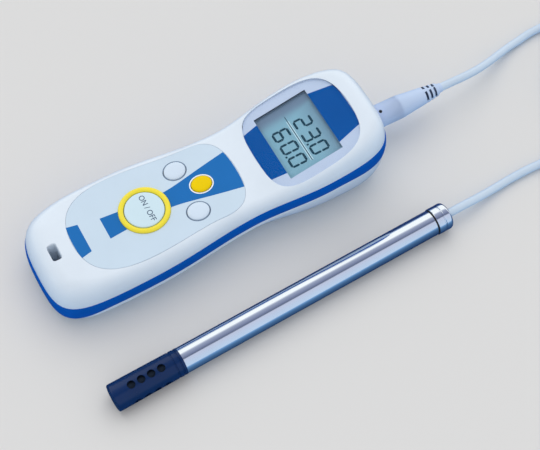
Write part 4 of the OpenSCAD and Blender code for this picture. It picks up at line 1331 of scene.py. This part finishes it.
# In mirrors the floor is painted navy up to the probe and dark just past it, a painted shadow of the meter
# and the probe, then paler blue further to the right.
SHADED_FLOOR_IN_STEEL = ((0.0, (0.02, 0.05, 0.17)), (0.13, (0.02, 0.06, 0.19)), (0.16, (0.06, 0.15, 0.3)),
                  (0.24, (0.14, 0.32, 0.6)), (0.5, (0.28, 0.5, 0.8)), (1.0, (0.4, 0.62, 0.9)))
ROOM_IN_STEEL = ((0.0, (0.63, 0.81, 1.0)), (0.365, (0.68, 0.73, 0.88)), (0.40, (0.14, 0.17, 0.26)),
                 (0.48, (0.25, 0.29, 0.43)), (0.62, (0.42, 0.47, 0.61)), (0.665, (0.8, 0.84, 0.92)),
                 (0.70, (1.2, 1.24, 1.2)), (1.0, (1.2, 1.24, 1.2)))


class HYGRO_OT_stage(bpy.types.Operator):
    """Camera, floor, lamps and surroundings"""

    bl_idname = "hygro.stage"
    bl_label = "Stage"

    def execute(self, context):
        tone = context.scene.hygro_colours.floor
        add_camera(context)
        add_floor(context, tone)
        add_surroundings(context, tone)
        add_lamps(context)
        context.scene.view_settings.view_transform = "Standard"
        return {"FINISHED"}


def add_camera(context):
    data = bpy.data.cameras.new("camera")
    data.sensor_fit = "HORIZONTAL"
    data.sensor_width = 36
    data.lens = CAMERA_LENS
    data.clip_start = 0.01
    camera = bpy.data.objects.new("camera", data)
    turn = Matrix((CAMERA_RIGHT, CAMERA_UP, [-c for c in CAMERA_AHEAD])).transposed()
    camera.matrix_world = Matrix.Translation(CAMERA_PLACE) @ turn.to_4x4()
    context.scene.collection.objects.link(camera)
    context.scene.camera = camera


def add_floor(context, tone):
    """A pale floor. Steel sees it navy beside the meter and paler to the right of the probe: the dark part
    is a painted shadow of the meter and the probe.
    """
    bm = bmesh.new()
    bmesh.ops.create_grid(bm, x_segments=1, y_segments=1, size=4.0)
    mesh = bpy.data.meshes.new("floor")
    bm.to_mesh(mesh)
    bm.free()
    floor = bpy.data.objects.new("floor", mesh)
    floor.location.z = -0.0002
    context.scene.collection.objects.link(floor)
    m = new_material("floor_paper")
    place = add_node(m.tree, "ShaderNodeSeparateXYZ", {"Vector": m.place}).outputs
    shaded_mirrored_tone = ramped(m.tree, ranged(m.tree, place["X"], 0.0, 0.5), SHADED_FLOOR_IN_STEEL)
    ray = add_node(m.tree, "ShaderNodeLightPath").outputs
    bounced = mixed(m.tree, ray["Is Glossy Ray"], solid(FLOOR_BOUNCE), shaded_mirrored_tone)
    seen = mixed(m.tree, ray["Is Camera Ray"], bounced, solid(tone))
    feed(m.tree, m.shader, {"Base Color": seen, "Roughness": 0.9, "Specular IOR Level": 0.1})
    mesh.materials.append(m.material)


def background(tree, tone, level=1.0):
    return add_node(tree, "ShaderNodeBackground", {"Color": tone, "Strength": level}).outputs[0]


def add_surroundings(context, tone):
    """A soft room. Steel and glass see it bright to the left, pale blue to the right and dim overhead."""
    world = bpy.data.worlds.new("studio")
    context.scene.world = world
    world.use_nodes = True
    tree = world.node_tree
    tree.nodes.clear()
    direction = add_node(tree, "ShaderNodeTexCoord").outputs["Generated"]
    parts = add_node(tree, "ShaderNodeSeparateXYZ", {"Vector": direction}).outputs
    turn = reckoned(tree, "DIVIDE", reckoned(tree, "ARCTAN2", parts["Z"], parts["X"]), math.pi)
    bands = background(tree, ramped(tree, turn, ROOM_IN_STEEL))
    ray = add_node(tree, "ShaderNodeLightPath").outputs
    sharp = reckoned(tree, "MAXIMUM", ray["Is Glossy Ray"], ray["Is Transmission Ray"])
    light = blended(tree, sharp, background(tree, (1, 1, 1, 1), ROOM_LEVEL), bands)
    surface = blended(tree, ray["Is Camera Ray"], light, background(tree, solid(tone)))
    add_node(tree, "ShaderNodeOutputWorld", {"Surface": surface})


def add_lamps(context):
    """One wide soft lamp from the left, which the steel doesn't mirror."""
    data = bpy.data.lights.new("key_lamp", "SUN")
    data.angle = math.radians(60)
    data.energy = LAMP_LEVEL
    lamp = bpy.data.objects.new("key_lamp", data)
    lamp.location = (-0.5, 0.25, 1.0)
    lamp.rotation_mode = "QUATERNION"
    lamp.rotation_quaternion = (-lamp.location).to_track_quat("-Z", "Y")
    lamp.visible_glossy = False
    lamp.visible_transmission = False
    context.scene.collection.objects.link(lamp)


class HYGRO_PT_panel(bpy.types.Panel):
    """Lists the pieces of the meter and their sizes"""

    bl_idname = "HYGRO_PT_panel"
    bl_label = "Hygrometer"
    bl_space_type = "VIEW_3D"
    bl_region_type = "UI"
    bl_category = "Hygrometer"

    def draw(self, context):
        layout = self.layout
        for name, group in SETTINGS.items():
            box = layout.box()
            box.label(text=group.__doc__)
            settings = getattr(context.scene, name)
            for key in group.__annotations__:
                box.prop(settings, key)
        for operator in OPERATORS:
            layout.operator(operator.bl_idname)


SETTINGS = {"hygro_housing": HousingSizes, "hygro_keypad": KeypadSizes, "hygro_display": DisplaySizes,
            "hygro_probe": ProbeSizes, "hygro_cord": CordSizes, "hygro_colours": FinishColours}
OPERATORS = [HYGRO_OT_stage, HYGRO_OT_plug, HYGRO_OT_cord, HYGRO_OT_front_casing, HYGRO_OT_side_band,
             HYGRO_OT_rear_casing, HYGRO_OT_battery_lid, HYGRO_OT_window, HYGRO_OT_display, HYGRO_OT_overlay,
             HYGRO_OT_keys, HYGRO_OT_probe, HYGRO_OT_inner_parts]


def register():
    for item in [*SETTINGS.values(), *OPERATORS, HYGRO_PT_panel]:
        bpy.utils.register_class(item)
    for name, group in SETTINGS.items():
        setattr(bpy.types.Scene, name, PointerProperty(type=group))


def unregister():
    for name in SETTINGS:
        delattr(bpy.types.Scene, name)
    for item in reversed([*SETTINGS.values(), *OPERATORS, HYGRO_PT_panel]):
        bpy.utils.unregister_class(item)


def main():
    register()
    for operator in OPERATORS:
        group, name = operator.bl_idname.split(".")
        getattr(getattr(bpy.ops, group), name)()


if __name__ == "__main__":
    main()
